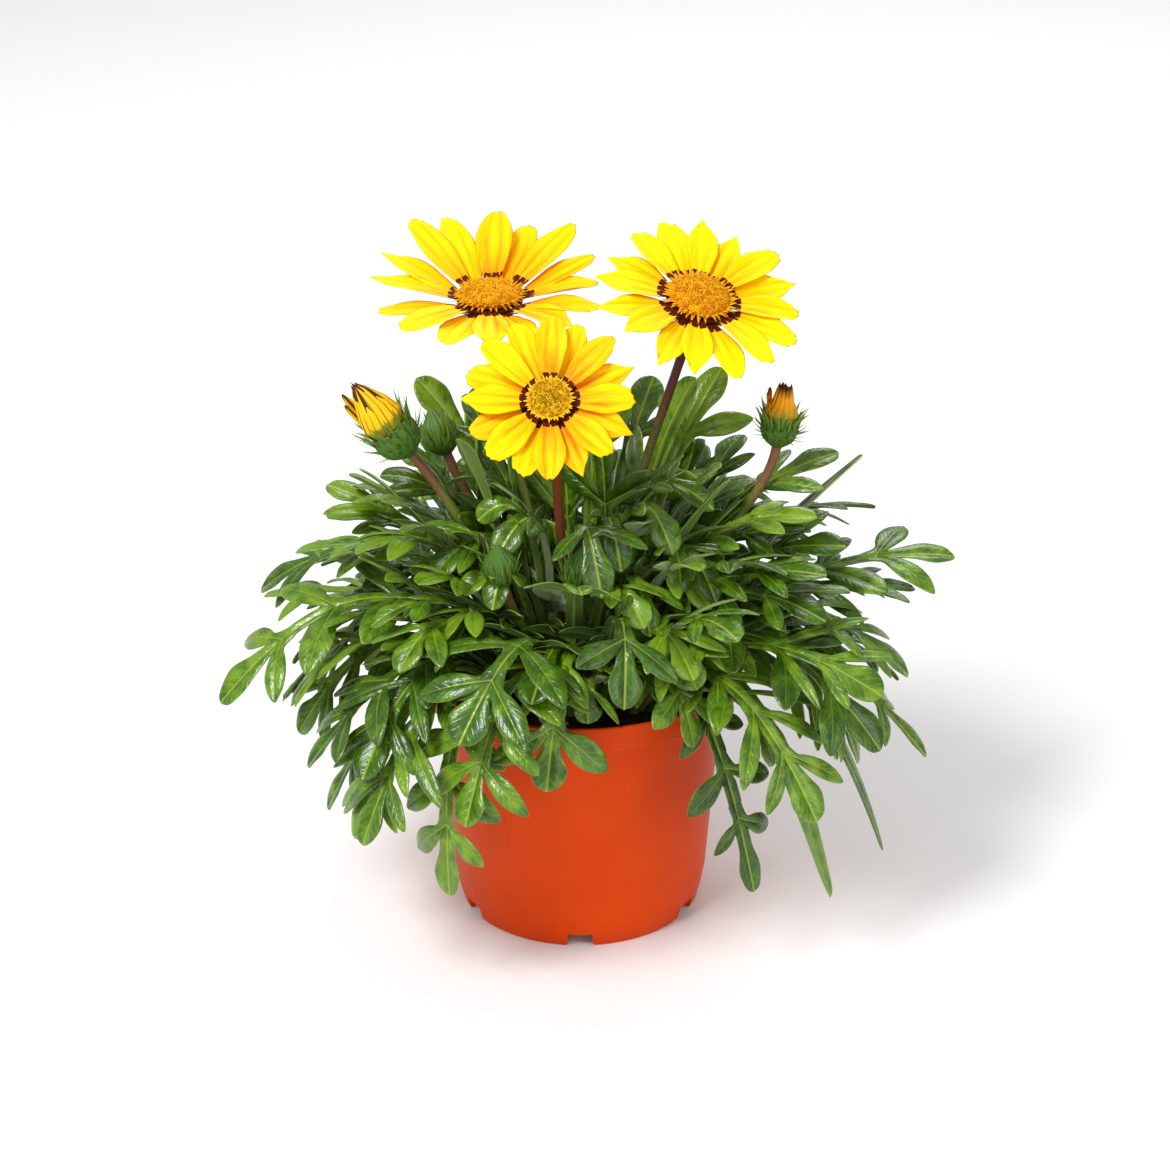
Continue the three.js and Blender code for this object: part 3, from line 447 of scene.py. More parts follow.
@dataclass(frozen=True)
class PetalFinish:
    """Living ray petal: thin satin tissue that light shines through, which keeps its shade golden,
    with deeper gold and amber painted shade in its creases and where neighbouring petals cover it.
    Its root has a dark band that ends in square tabs, and pale creases run along it."""

    lemon: str = "#ffe602"
    golden: str = "#ffbe02"
    # amber is painted shade, and golden is partly the petal's own streaks and partly painted shade:
    # the fold mark drives the ramp towards them.
    amber_shade: str = "#f08404"
    # back, the underside's golden colour, is partly the petal's own and partly painted shade of the
    # side turned from the light.
    back: str = "#f6bc0c"
    band: str = "#320b04"
    band_light: str = "#70260c"
    tab_mm: float = 2.9
    tab_cut_mm: float = 1.5
    streak_mm: float = 1.6

    def build(self) -> bpy.types.Material:
        """Makes the petal material from the petal's marks."""
        material, node = new_material("Gazania ray petal, thin satin tissue")
        fold, reach, side, band, tone, under = (
            node("Attribute", "Fac", {"attribute_name": name})
            for name in ("fold", "reach", "side", "band", "tone", "under")
        )
        across = node("CombineXYZ", 0, None, {"X": side, "Y": reach, "Z": tone})
        stretched = node(
            "Mapping", 0, None, {"Vector": across, "Scale": (1 / self.streak_mm, 0.05, 40.0)}
        )
        streak = node("TexNoise", "Fac", None, {"Vector": stretched, "Scale": 1.0, "Detail": 2.0})
        near = node(
            "MapRange", 0, SOFT_STEP,
            {"Value": reach, "From Min": 14.0, "From Max": 34.0, "To Min": 0.25, "To Max": 0.0},
        )
        # shade mixes the petal's own streaks and tone with painted shade from fold, and deepens
        # towards the root.
        shade = near
        for mark, share in ((streak, 0.7), (tone, 0.22), (fold, 0.4)):
            shade = node("Math", 0, SCALED_SUM, {0: mark, 1: share, 2: shade})
        ramp = [(0.32, self.lemon), (0.72, self.golden), (1.0, self.amber_shade)]
        yellow = node("ValToRGB", "Color", {"ramp": ramp}, {"Fac": shade})
        turned = node("Mix", 2, BLEND, {0: under, 6: yellow, 7: linear(self.back)})
        # The band ends at its mark, earlier by tab_cut_mm in the gaps between its tabs.
        cell = node("Math", 0, FOLDED, {0: side, 1: self.tab_mm / 2})
        cut = node(
            "MapRange", 0, SOFT_STEP,
            {"Value": cell, "From Max": 0.4, "To Min": self.tab_cut_mm, "To Max": 0.0},
        )
        inner = node("Math", 0, {"operation": "ADD"}, {0: reach, 1: cut})
        past = node("Math", 0, {"operation": "SUBTRACT"}, {0: inner, 1: band})
        dark = node(
            "MapRange", 0, SOFT_STEP,
            {"Value": past, "From Min": -0.15, "From Max": 0.2, "To Min": 1.0, "To Max": 0.0},
        )
        maroon = node(
            "Mix", 2, BLEND, {0: streak, 6: linear(self.band), 7: linear(self.band_light)}
        )
        return finished(
            material,
            {
                "Base Color": node("Mix", 2, BLEND, {0: dark, 6: turned, 7: maroon}),
                "Normal": node(
                    "Bump", "Normal", None,
                    {"Height": streak, "Strength": 0.3, "Distance": 0.3 * MM},
                ),
                "Roughness": 0.55,
                "IOR": 1.4,
                "Specular IOR Level": 0.12,
                "Subsurface Weight": 0.15,
                "Subsurface Radius": (1.0, 0.6, 0.02),
                "Subsurface Scale": 0.001,
            },
        )


@dataclass(frozen=True)
class FloretFinish:
    """Disc florets: dry pollen-dusted tubes, bright at their tips. The throat and the ground
    between them are painted shade, darker colours that stand for the shade among the tubes."""

    gap: str = "#ac6206"
    throat: str = "#e08a06"
    tip: str = "#f8bc1a"

    def build(self, name: str) -> bpy.types.Material:
        """Makes the floret material, under the given name, from the marks height and tone."""
        material, node = new_material(name)
        height, tone = (
            node("Attribute", "Fac", {"attribute_name": mark})
            for mark in ("height", "tone")
        )
        # height is how brightly a ring is painted: low values are painted shade among the tubes,
        # high ones the pollen tip.
        mixed = node("Math", 0, SCALED_SUM, {0: tone, 1: 0.35, 2: height})
        ramp = [(0.1, self.gap), (0.6, self.throat), (1.0, self.tip)]
        colour = node("ValToRGB", "Color", {"ramp": ramp}, {"Fac": mixed})
        return finished(
            material,
            {"Base Color": colour, "Roughness": 0.8, "IOR": 1.4, "Specular IOR Level": 0.15},
        )


@dataclass(frozen=True)
class StemFinish:
    """Green stem tissue with a satin skin: olive at the foot, flushed red-brown towards the head,
    and fresh green on the cup and its bracts."""

    foot: str = "#7a9440"
    flush: str = "#5c2417"
    cup: str = "#40691c"
    tips: str = "#a0a63a"
    flush_from: float = 0.6
    flush_over: float = 0.3
    fleck_mm: float = 1.4

    def build(self, name: str) -> bpy.types.Material:
        """Makes the stem material, under the given name, from the marks rise, leafy and tip."""
        material, node = new_material(name)
        rise, leafy, tip = (
            node("Attribute", "Fac", {"attribute_name": mark})
            for mark in ("rise", "leafy", "tip")
        )
        fleck = node(
            "TexNoise", "Fac", None,
            {
                "Vector": node("TexCoord", "Object"),
                "Scale": 1 / (self.fleck_mm * MM),
                "Detail": 2.0,
            },
        )
        flushed = [(self.flush_from, self.foot), (self.flush_from + self.flush_over, self.flush)]
        wavy = node("Math", 0, SCALED_SUM, {0: fleck, 1: 0.3, 2: rise})
        skin = node("ValToRGB", "Color", {"ramp": flushed}, {"Fac": wavy})
        leafed = [(0.25, self.cup), (1.1 / 1.2, self.tips)]
        pointed = node("Math", 0, SCALED_SUM, {0: fleck, 1: 0.4, 2: tip})
        leaf = node("ValToRGB", "Color", {"ramp": leafed}, {"Fac": pointed})
        return finished(
            material,
            {
                "Base Color": node("Mix", 2, BLEND, {0: leafy, 6: skin, 7: leaf}),
                "Normal": node(
                    "Bump", "Normal", None,
                    {"Height": fleck, "Strength": 0.3, "Distance": 0.2 * MM},
                ),
                "Roughness": 0.48,
                "IOR": 1.42,
                "Subsurface Weight": 0.05,
                "Subsurface Radius": (0.5, 0.8, 0.2),
                "Subsurface Scale": 0.001,
            },
        )


@dataclass(frozen=True)
class BudFinish:
    """Rolled ray petals of a bud: satin yellow with a brown stripe down the back of each, green
    where they leave the cup and dark at their tips."""

    yellow: str = "#f0bc14"
    stripe: str = "#44270c"
    end: str = "#4a1c0c"
    foot: str = "#a9a028"
    foot_share: float = 0.25
    end_share: float = 0.86
    stripe_width: float = 0.48
    stripe_edge: float = 0.22

    def build(self, name: str) -> bpy.types.Material:
        """Makes the bud material, under the given name, from the marks across, along and tone."""
        material, node = new_material(name)
        across, along, tone = (
            node("Attribute", "Fac", {"attribute_name": mark})
            for mark in ("across", "along", "tone")
        )
        away = node("Math", 0, {"operation": "ABSOLUTE"}, {0: across})
        place = node("CombineXYZ", 0, None, {"X": across, "Y": along, "Z": tone})
        stretched = node("Mapping", 0, None, {"Vector": place, "Scale": (5.0, 1.5, 30.0)})
        streak = node("TexNoise", "Fac", None, {"Vector": stretched, "Scale": 1.0})
        ragged = node("Math", 0, SCALED_SUM, {0: streak, 1: 0.5, 2: away})
        edge = self.stripe_width + self.stripe_edge
        ramp = [(self.stripe_width, self.stripe), (edge, self.yellow)]
        striped = node("ValToRGB", "Color", {"ramp": ramp}, {"Fac": ragged})
        starting = node(
            "MapRange", 0, SOFT_STEP,
            {"Value": along, "From Max": self.foot_share, "To Min": 0.85, "To Max": 0.0},
        )
        rooted = node("Mix", 2, BLEND, {0: starting, 6: striped, 7: linear(self.foot)})
        ending = node("MapRange", 0, SOFT_STEP, {"Value": along, "From Min": self.end_share})
        colour = node("Mix", 2, BLEND, {0: ending, 6: rooted, 7: linear(self.end)})
        return finished(
            material,
            {"Base Color": colour, "Roughness": 0.5, "IOR": 1.4, "Specular IOR Level": 0.2},
        )


@dataclass(frozen=True)
class PotFinish:
    """Injection-moulded polypropylene: satin, faintly clouded by the flow of the melt, with fine
    vertical draw marks from the mould."""

    plastic: str = "#dd4602"
    cloud: str = "#d24001"
    flow_mm: float = 40.0
    grain_mm: float = 0.8

    def build(self) -> bpy.types.Material:
        """Makes the pot's material on Object coordinates."""
        material, node = new_material("Polypropylene, injection moulded")
        place = node("TexCoord", "Object")
        flow = node(
            "TexNoise", "Fac", None,
            {"Vector": place, "Scale": 1 / (self.flow_mm * MM), "Detail": 3.0},
        )
        ramp = [(0.35, self.cloud), (0.65, self.plastic)]
        drawn = node(
            "Mapping", 0, None,
            {"Vector": place, "Scale": (1 / (self.grain_mm * MM),) * 2 + (8.0,)},
        )
        marks = node("TexNoise", "Fac", None, {"Vector": drawn, "Scale": 1.0, "Detail": 3.0})
        return finished(
            material,
            {
                "Base Color": node("ValToRGB", "Color", {"ramp": ramp}, {"Fac": flow}),
                "Roughness": node(
                    "MapRange", 0, None, {"Value": marks, "To Min": 0.3, "To Max": 0.48}
                ),
                "Normal": node(
                    "Bump", "Normal", None,
                    {"Height": marks, "Strength": 0.12, "Distance": 0.1 * MM},
                ),
                "IOR": 1.49,
                "Specular IOR Level": 0.1,
            },
        )


@dataclass(frozen=True)
class SoilFinish:
    """Potting soil: peat, nearly black where the crumb noise is low and the bump sinks, brown fibre
    where it is high, and white perlite.
    """

    hollow_peat: str = "#1a100a"
    raised_peat: str = "#4b3320"
    stone: str = "#d8d2c4"
    crumb_mm: float = 1.6

    def build(self) -> bpy.types.Material:
        """Makes the soil's material from the mark stone."""
        material, node = new_material("Potting soil, moist peat")
        stone = node("Attribute", "Fac", {"attribute_name": "stone"})
        crumb = node(
            "TexNoise", "Fac", None,
            {
                "Vector": node("TexCoord", "Object"),
                "Scale": 1 / (self.crumb_mm * MM),
                "Detail": 5.0,
            },
        )
        # The crumb noise sets both the colour and the bump's height, so the soil is darker where
        # its bump sinks.
        ramp = [(0.35, self.hollow_peat), (0.7, self.raised_peat)]
        peat = node("ValToRGB", "Color", {"ramp": ramp}, {"Fac": crumb})
        colour = node("Mix", 2, BLEND, {0: stone, 6: peat, 7: linear(self.stone)})
        bump = node(
            "Bump", "Normal", None, {"Height": crumb, "Strength": 0.8, "Distance": 0.8 * MM}
        )
        return finished(
            material, {"Base Color": colour, "Normal": bump, "Roughness": 0.95, "IOR": 1.4}
        )


# ---------------------------------------------------------------- pieces


@dataclass
class Piece:
    """One mesh object, made from patches and dressed in one material."""

    name: str
    slot: str
    material: bpy.types.Material
    patches: list[Patch]

    def build(self, origin: Array, *replaced: str) -> bpy.types.Object:
        """Makes the object, in metres, and puts it in the frame.

        Args:
            origin: the pot's axis in the row frame, in mm.
            replaced: the CAD nodes that the piece stands for.

        Returns:
            The object, riding on the body.
        """
        points, faces, marks = welded(joined(self.patches))
        mesh = bpy.data.meshes.new(self.name)
        mesh.from_pydata(((points + origin) * MM).tolist(), [], faces)
        mesh.shade_smooth()
        for name, values in marks.items():
            attribute = mesh.attributes.new(name, "FLOAT", "POINT")
            attribute.data.foreach_set("value", values.astype(np.float32))
        mesh.materials.append(self.material)
        mesh.update()
        piece = bpy.data.objects.new(self.name, mesh)
        bpy.context.scene.collection.objects.link(piece)
        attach(piece, "root")
        if replaced:
            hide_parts(*replaced)
        log.info("%s: %d faces", self.name, len(faces))
        return piece


# ---------------------------------------------------------------- pot and soil


@dataclass
class Pot:
    """A tapered nursery pot with a band round its rim and notches in its foot."""

    rim_radius: float = 60
    height: float = 97
    band_height: float = 10.3
    ledge_radius: float = 52.6
    bend_radius: float = 47.2
    bend_height: float = 13
    foot_radius: float = 44.4
    wall: float = 1.5
    floor_height: float = 6
    notches: int = 6
    notch_width: float = 9
    notch_height: float = 5.4
    notch_corner: float = 1.4
    drain_radius: float = 3
    drain_ring: float = 31
    notch_run: float = 14
    drain_run: float = 12
    edge_round: float = 0.6
    sharp_angle: float = 40
    sides: int = 180

    def profile(self) -> Array:
        """The half section as [radius, height] corners, from the floor's underside and up."""
        band = self.height - self.band_height
        return np.array(
            [
                [0, self.floor_height],
                [self.foot_radius - self.wall - 0.6, self.floor_height],
                [self.foot_radius - self.wall, 0],
                [self.foot_radius, 0],
                [self.bend_radius - 1.1, self.bend_height / 2],
                [self.bend_radius, self.bend_height],
                [self.ledge_radius, band],
                [self.rim_radius - 0.9, band + 0.6],
                [self.rim_radius, self.height],
                [self.rim_radius - self.wall, self.height],
                [self.rim_radius - self.wall - 1, band + 2.2],
                [self.ledge_radius - self.wall, band + 1.2],
                [self.bend_radius - self.wall, self.bend_height],
                [self.foot_radius - self.wall, self.floor_height + self.wall],
                [0, self.floor_height + self.wall],
            ]
        )

    def shell(self) -> Patch:
        """The half section, its corners rounded, revolved about the axis."""
        section = rounded(self.profile(), self.edge_round, 5)
        return net(revolved(section[:, :1], section[:, 1:], self.sides), wrap=True).turned_out()

    def cutters(self) -> Patch:
        """The notches, as flared slots through the foot ring, and the drain holes as cylinders.

        Returns:
            One patch of closed prisms. A notch's outline is [across, height], its corners at the
            ground flare out by quarter arcs, and the prism runs notch_run along the radius.
        """
        half, corner = self.notch_width / 2, self.notch_corner
        arc = np.linspace(0, math.pi / 2, 6)
        flare = np.stack(
            [half + corner * (1 - np.sin(arc)), corner * (1 - np.cos(arc))], axis=1
        )
        right = np.concatenate([[[half + corner, -1]], flare, [[half, self.notch_height]]])
        outline = np.concatenate([right, right[::-1] * [-1, 1]])
        outline = np.concatenate([outline, outline[:1]])[::-1]
        ring = np.linspace(0, 2 * math.pi, 25)
        drain = self.drain_radius * np.stack([np.cos(ring), np.sin(ring)], axis=1)
        patches = []
        for i in range(self.notches):
            turn = math.radians(360 / self.notches * i - 90)
            out = np.array([math.cos(turn), math.sin(turn), 0])
            aside = np.array([-math.sin(turn), math.cos(turn), 0])
            slot = outline[:, :1] * aside + outline[:, 1:] * [0, 0, 1]
            start = out * (self.foot_radius - self.notch_run / 2)
            patches.append(prism(slot + start, out * self.notch_run))
            hole = drain[:, :1] * out + drain[:, 1:] * aside
            patches.append(prism(hole + out * self.drain_ring, np.array([0, 0, self.drain_run])))
        return joined(patches)

    def build(self, origin: Array) -> None:
        """Makes the pot and cuts its notches and drain holes."""
        material = PotFinish().build()
        pot = Piece("pot_moulded", "pot_plastic", material, [self.shell()])
        body = pot.build(origin, "pot")
        points, faces, _ = welded(self.cutters())
        mesh = bpy.data.meshes.new("cutters")
        mesh.from_pydata(((points + origin) * MM).tolist(), [], faces)
        tool = bpy.data.objects.new("cutters", mesh)
        bpy.context.scene.collection.objects.link(tool)
        cut = body.modifiers.new("notches", "BOOLEAN")
        cut.object, cut.operation, cut.solver = tool, "DIFFERENCE", "EXACT"
        shown = body.evaluated_get(bpy.context.evaluated_depsgraph_get())
        final = bpy.data.meshes.new_from_object(shown)
        body.modifiers.clear()
        body.data = final
        final.set_sharp_from_angle(angle=math.radians(self.sharp_angle))
        bpy.data.objects.remove(tool)


def prism(outline: Array, along: Array) -> Patch:
    """A closed straight bar: the outline carried along a vector, with both ends closed.

    Args:
        outline: (n, 3) points whose last is the first again.
        along: where the far end lies from the near one.

    Returns:
        The patch; each end is a fan round the outline's middle.
    """
    middle = outline[:-1].mean(axis=0)
    near = np.broadcast_to(middle, outline.shape)
    points = np.stack([near, outline, outline + along, near + along])
    return net(points).turned_out()


@dataclass
class Soil:
    """Potting soil that fills the pot, lumpy on top, with crumbs and perlite."""

    level: float = 84
    mound: float = 2.5
    lump: float = 0.8
    outer: float = 44
    edge: float = 50.0
    strewn: float = 47.5
    bottom: float = 7.8
    crumbs: int = 420
    white_share: float = 1 / 7
    rings: int = 90
    sides: int = 150

    def top(self, x: Array, y: Array) -> Array:
        """The top's height: a mound, plus long lumps, plus crumbs of a few millimetres."""
        reach = np.minimum(1, np.hypot(x, y) / self.outer)
        lumps = np.sin(0.31 * x + 1.7 * np.sin(0.19 * y)) * np.cos(0.27 * y + 0.6)
        fine = np.sin(1.9 * x + 2.3 * np.sin(1.1 * y)) * np.sin(2.1 * y + 1.7 * np.sin(0.9 * x))
        grit = np.sin(4.3 * x + 2 * np.sin(3.1 * y)) * np.sin(4.9 * y + 2 * np.sin(2.7 * x))
        relief = self.lump * lumps + 0.35 * fine + 0.2 * grit
        return self.level + self.mound * (1 - reach**2) + relief

    def body(self) -> Patch:
        """A filled lathe: rings out over the lumpy top, down the wall and in under the base."""
        reach = np.linspace(0, self.edge, self.rings)[:, None]
        top = revolved(reach, 0 * reach, self.sides)
        top[..., 2] = self.top(top[..., 0], top[..., 1])
        side = np.array([[50.1, 83.0], [45.1, 13.0], [42.3, self.bottom], [0, self.bottom]])
        low = revolved(side[:, :1], side[:, 1:], self.sides)
        return net(np.concatenate([top, low]), wrap=True, stone=0.0).turned_out()

    def grains(self) -> Patch:
        """Loose crumbs: small lumpy balls strewn on the top, white_share of them white.

        Returns:
            A ball's radius at latitude a and turn b is r (1 + 0.25 sin 3b cos 2a), squashed.
        """
        count = np.arange(self.crumbs)
        reach = self.strewn * np.sqrt(draw(1, count))
        where = 2 * math.pi * draw(2, count)
        x, y = reach * np.cos(where), reach * np.sin(where)
        size = 0.35 + 0.95 * draw(3, count) ** 2
        a = np.linspace(-math.pi / 2, math.pi / 2, 5)[None, :, None]
        b = circle(6)[None, None, :]
        spin = 6.3 * draw(4, count)[:, None, None]
        radius = size[:, None, None] * (1 + 0.25 * np.sin(3 * b + spin) * np.cos(2 * a))
        points = np.stack(
            [
                x[:, None, None] + radius * np.cos(a) * np.cos(b + spin),
                y[:, None, None] + radius * np.cos(a) * np.sin(b + spin),
                (self.top(x, y) + 0.2 * size)[:, None, None] + 0.8 * radius * np.sin(a) + 0 * b,
            ],
            axis=-1,
        )
        white = (draw(5, count) < self.white_share).astype(float)[:, None, None]
        return net(points, wrap=True, stone=white).turned_out()

    def build(self, origin: Array) -> None:
        """Makes the soil."""
        patches = [self.body(), self.grains()]
        Piece("soil_fill", "potting_soil", SoilFinish().build(), patches).build(origin, "soil")


# ---------------------------------------------------------------- stems, cups and bracts


@dataclass(frozen=True)
class StemShape:
    """The curve and section that all flower and bud stems share."""

    radius: float = 1.7
    upright: float = 0.42
    lean: float = 0.18
    neck: float = 0.3
    sunk: float = 2
    sides: int = 14
    steps: int = 48

    def tube(self, root: tuple[float, float], top: Array, axis: Array, seed: float) -> Patch:
        """A round bar along a cubic curve from below the soil to the head.

        Args:
            root: where it leaves the soil.
            top: where it ends.
            axis: the head's axis, along which it ends.
            seed: which stem this is.

        Returns:
            Rings round the curve, whose radius swells and thins by a few hundredths.
        """
        foot = np.array([root[0], root[1], FOOT_LEVEL])
        rise = top[2] - foot[2]
        low = foot + [0, 0, self.upright * rise]
        low = lerp(low, np.array([top[0], top[1], low[2]]), self.lean)
        high = top - axis * self.neck * rise
        t = np.linspace(0, 1, self.steps)[:, None]
        centre = (
            (1 - t) ** 3 * foot
            + 3 * (1 - t) ** 2 * t * low
            + 3 * (1 - t) * t**2 * high
            + t**3 * top
        )
        along = unit(np.gradient(centre, axis=0))
        side = unit(np.cross(along, [0.31, 0.95, 0.05]))
        other = np.cross(along, side)
        turn = circle(self.sides)[None, :, None]
        swell = 1 + 0.05 * np.sin(9 * t + seed) + 0.03 * np.sin(31 * t + 2 * seed)
        ridge = 1 + 0.05 * np.cos(5 * turn)
        radius = (self.radius * np.minimum(swell, 1.06))[:, None] * ridge
        rings = centre[:, None] + radius * (
            side[:, None] * np.cos(turn) + other[:, None] * np.sin(turn)
        )
        ends = [np.broadcast_to(centre[k], (1, self.sides, 3)) for k in (0, -1)]
        points = np.concatenate([ends[0], rings, ends[1]])
        marks = np.concatenate([[0], t[:, 0], [1]])[:, None]
        return net(points, wrap=True, rise=marks).turned_out()


def spikes(
    root: Array, out: Array, side: Array, length: Array, width: float, bend: float
) -> Patch:
    """Narrow pointed bracts: each a flat tapering blade that curves along its length.

    Args:
        root: (n, 3) where each starts.
        out: (n, 3) the unit vectors that they grow along.
        side: (n, 3) unit vectors across them.
        length: (n,) their lengths.
        width: half their greatest width.
        bend: the share of its length that a tip turns towards its back.

    Returns:
        At t along and a round, the point is root + out length t - back bend length t^2, plus
        side w cos a + back 0.35 w sin a, where w = width (1 - t)^0.8 (0.6 + 1.6 t (1 - t)).
    """
    t = np.linspace(0, 1, 8)[None, :, None, None]
    a = circle(6)[None, None, :, None]
    back = np.cross(out, side)[:, None, None]
    w = width * (1 - t) ** 0.8 * (0.6 + 1.6 * t * (1 - t))
    reach = length[:, None, None, None]
    spine = root[:, None, None] + out[:, None, None] * reach * t + back * bend * reach * t**2
    points = spine + side[:, None, None] * w * np.cos(a) + back * 0.35 * w * np.sin(a)
    closed = np.concatenate([spine[:, :1] + 0 * a, points], axis=1)
    tip = np.concatenate([t[:, :1], t], axis=1)[..., 0]
    return net(closed, wrap=True, leafy=1.0, tip=tip).turned_out()


@dataclass
class Head:
    """What a stem carries: the placement and the green parts that flowers and buds share."""

    name: str
    centre: tuple[float, float, float]
    azimuth: float
    elevation: float
    root: tuple[float, float]
    seed: int

    @property
    def axis(self) -> Array:
        """The direction that the head looks in."""
        return direction(self.azimuth, self.elevation)

    def placed(self, patch: Patch) -> Patch:
        """A patch built about +Z, carried to the head's centre and axis."""
        points = patch.points @ turning(self.axis).T + np.array(self.centre)
        return Patch(points, patch.faces, patch.marks)

    def stem(self, head_height: float) -> Patch:
        """The stem, from below the soil to just inside the head.

        Args:
            head_height: how far below the centre the green head begins.

        Returns:
            The stem's patch.
        """
        shape = StemShape()
        top = np.array(self.centre) + self.axis * (shape.sunk - head_height)
        return shape.tube(self.root, top, self.axis, self.seed)

    def ring(
        self,
        count: int,
        radius: float,
        height: float,
        length: float,
        spread: float,
        seed: int,
        width: float = 1.0,
        bend: float = 0.12,
    ) -> Patch:
        """A ring of bracts, each with its own size and lean, in the head's own frame.

        Args:
            count: how many.
            radius: their distance from the axis at the root.
            height: their roots' height.
            length: their length.
            spread: how far they lean out, in degrees.
            seed: where their numbers are drawn.
            width: half their width.
            bend: how far they curl back.

        Returns:
            The patch of the bracts.
        """
        i = np.arange(count)
        size = length * (1 + jitter(seed, i, 0.15))
        lean = np.radians(spread + jitter(seed, i + 40, 5))
        turn = 2 * math.pi * i / count + jitter(seed, i + 80, 0.08)
        flat = np.stack([np.cos(turn), np.sin(turn), 0 * turn], axis=1)
        side = np.stack([-np.sin(turn), np.cos(turn), 0 * turn], axis=1)
        up = np.array([0.0, 0.0, 1.0])
        out = flat * np.sin(lean)[:, None] + up * np.cos(lean)[:, None]
        root = flat * radius + up * height - out * 0.8
        return spikes(root, out, side, size * 0.97, width, bend)

    @staticmethod
    def bowl(profile: list[list[float]], ribs: int, depth: float) -> Patch:
        """A ribbed cup: a smooth profile turned about +Z, its radius drawn in between its ribs.

        Args:
            profile: [radius, height] corners that the wall passes through.
            ribs: how many ribs it has.
            depth: how far the wall is drawn in, as a share of its radius.

        Returns:
            The closed patch. The radius at turn a is r (1 - depth sin^2(ribs a / 2)).
        """
        wall = smooth_path(np.array(profile), 26)
        radius = wall[:, :1] * (1 - depth * np.sin(ribs * circle(4 * ribs) / 2) ** 2)
        points = revolved(radius, wall[:, 1:], 4 * ribs)
        ends = [points[k : k + 1] * [0, 0, 1] for k in (0, len(points) - 1)]
        closed = np.concatenate([ends[0], points, ends[1]])
        return net(closed, wrap=True, leafy=1.0, tip=0.1).turned_out()


# ---------------------------------------------------------------- open flowers


class Tip(Enum):
    """How a ray petal ends: the share of its length by which its corners stand back."""

    POINTED = 0.15
    BLUNT = 0.07
    NOTCHED = 0.1


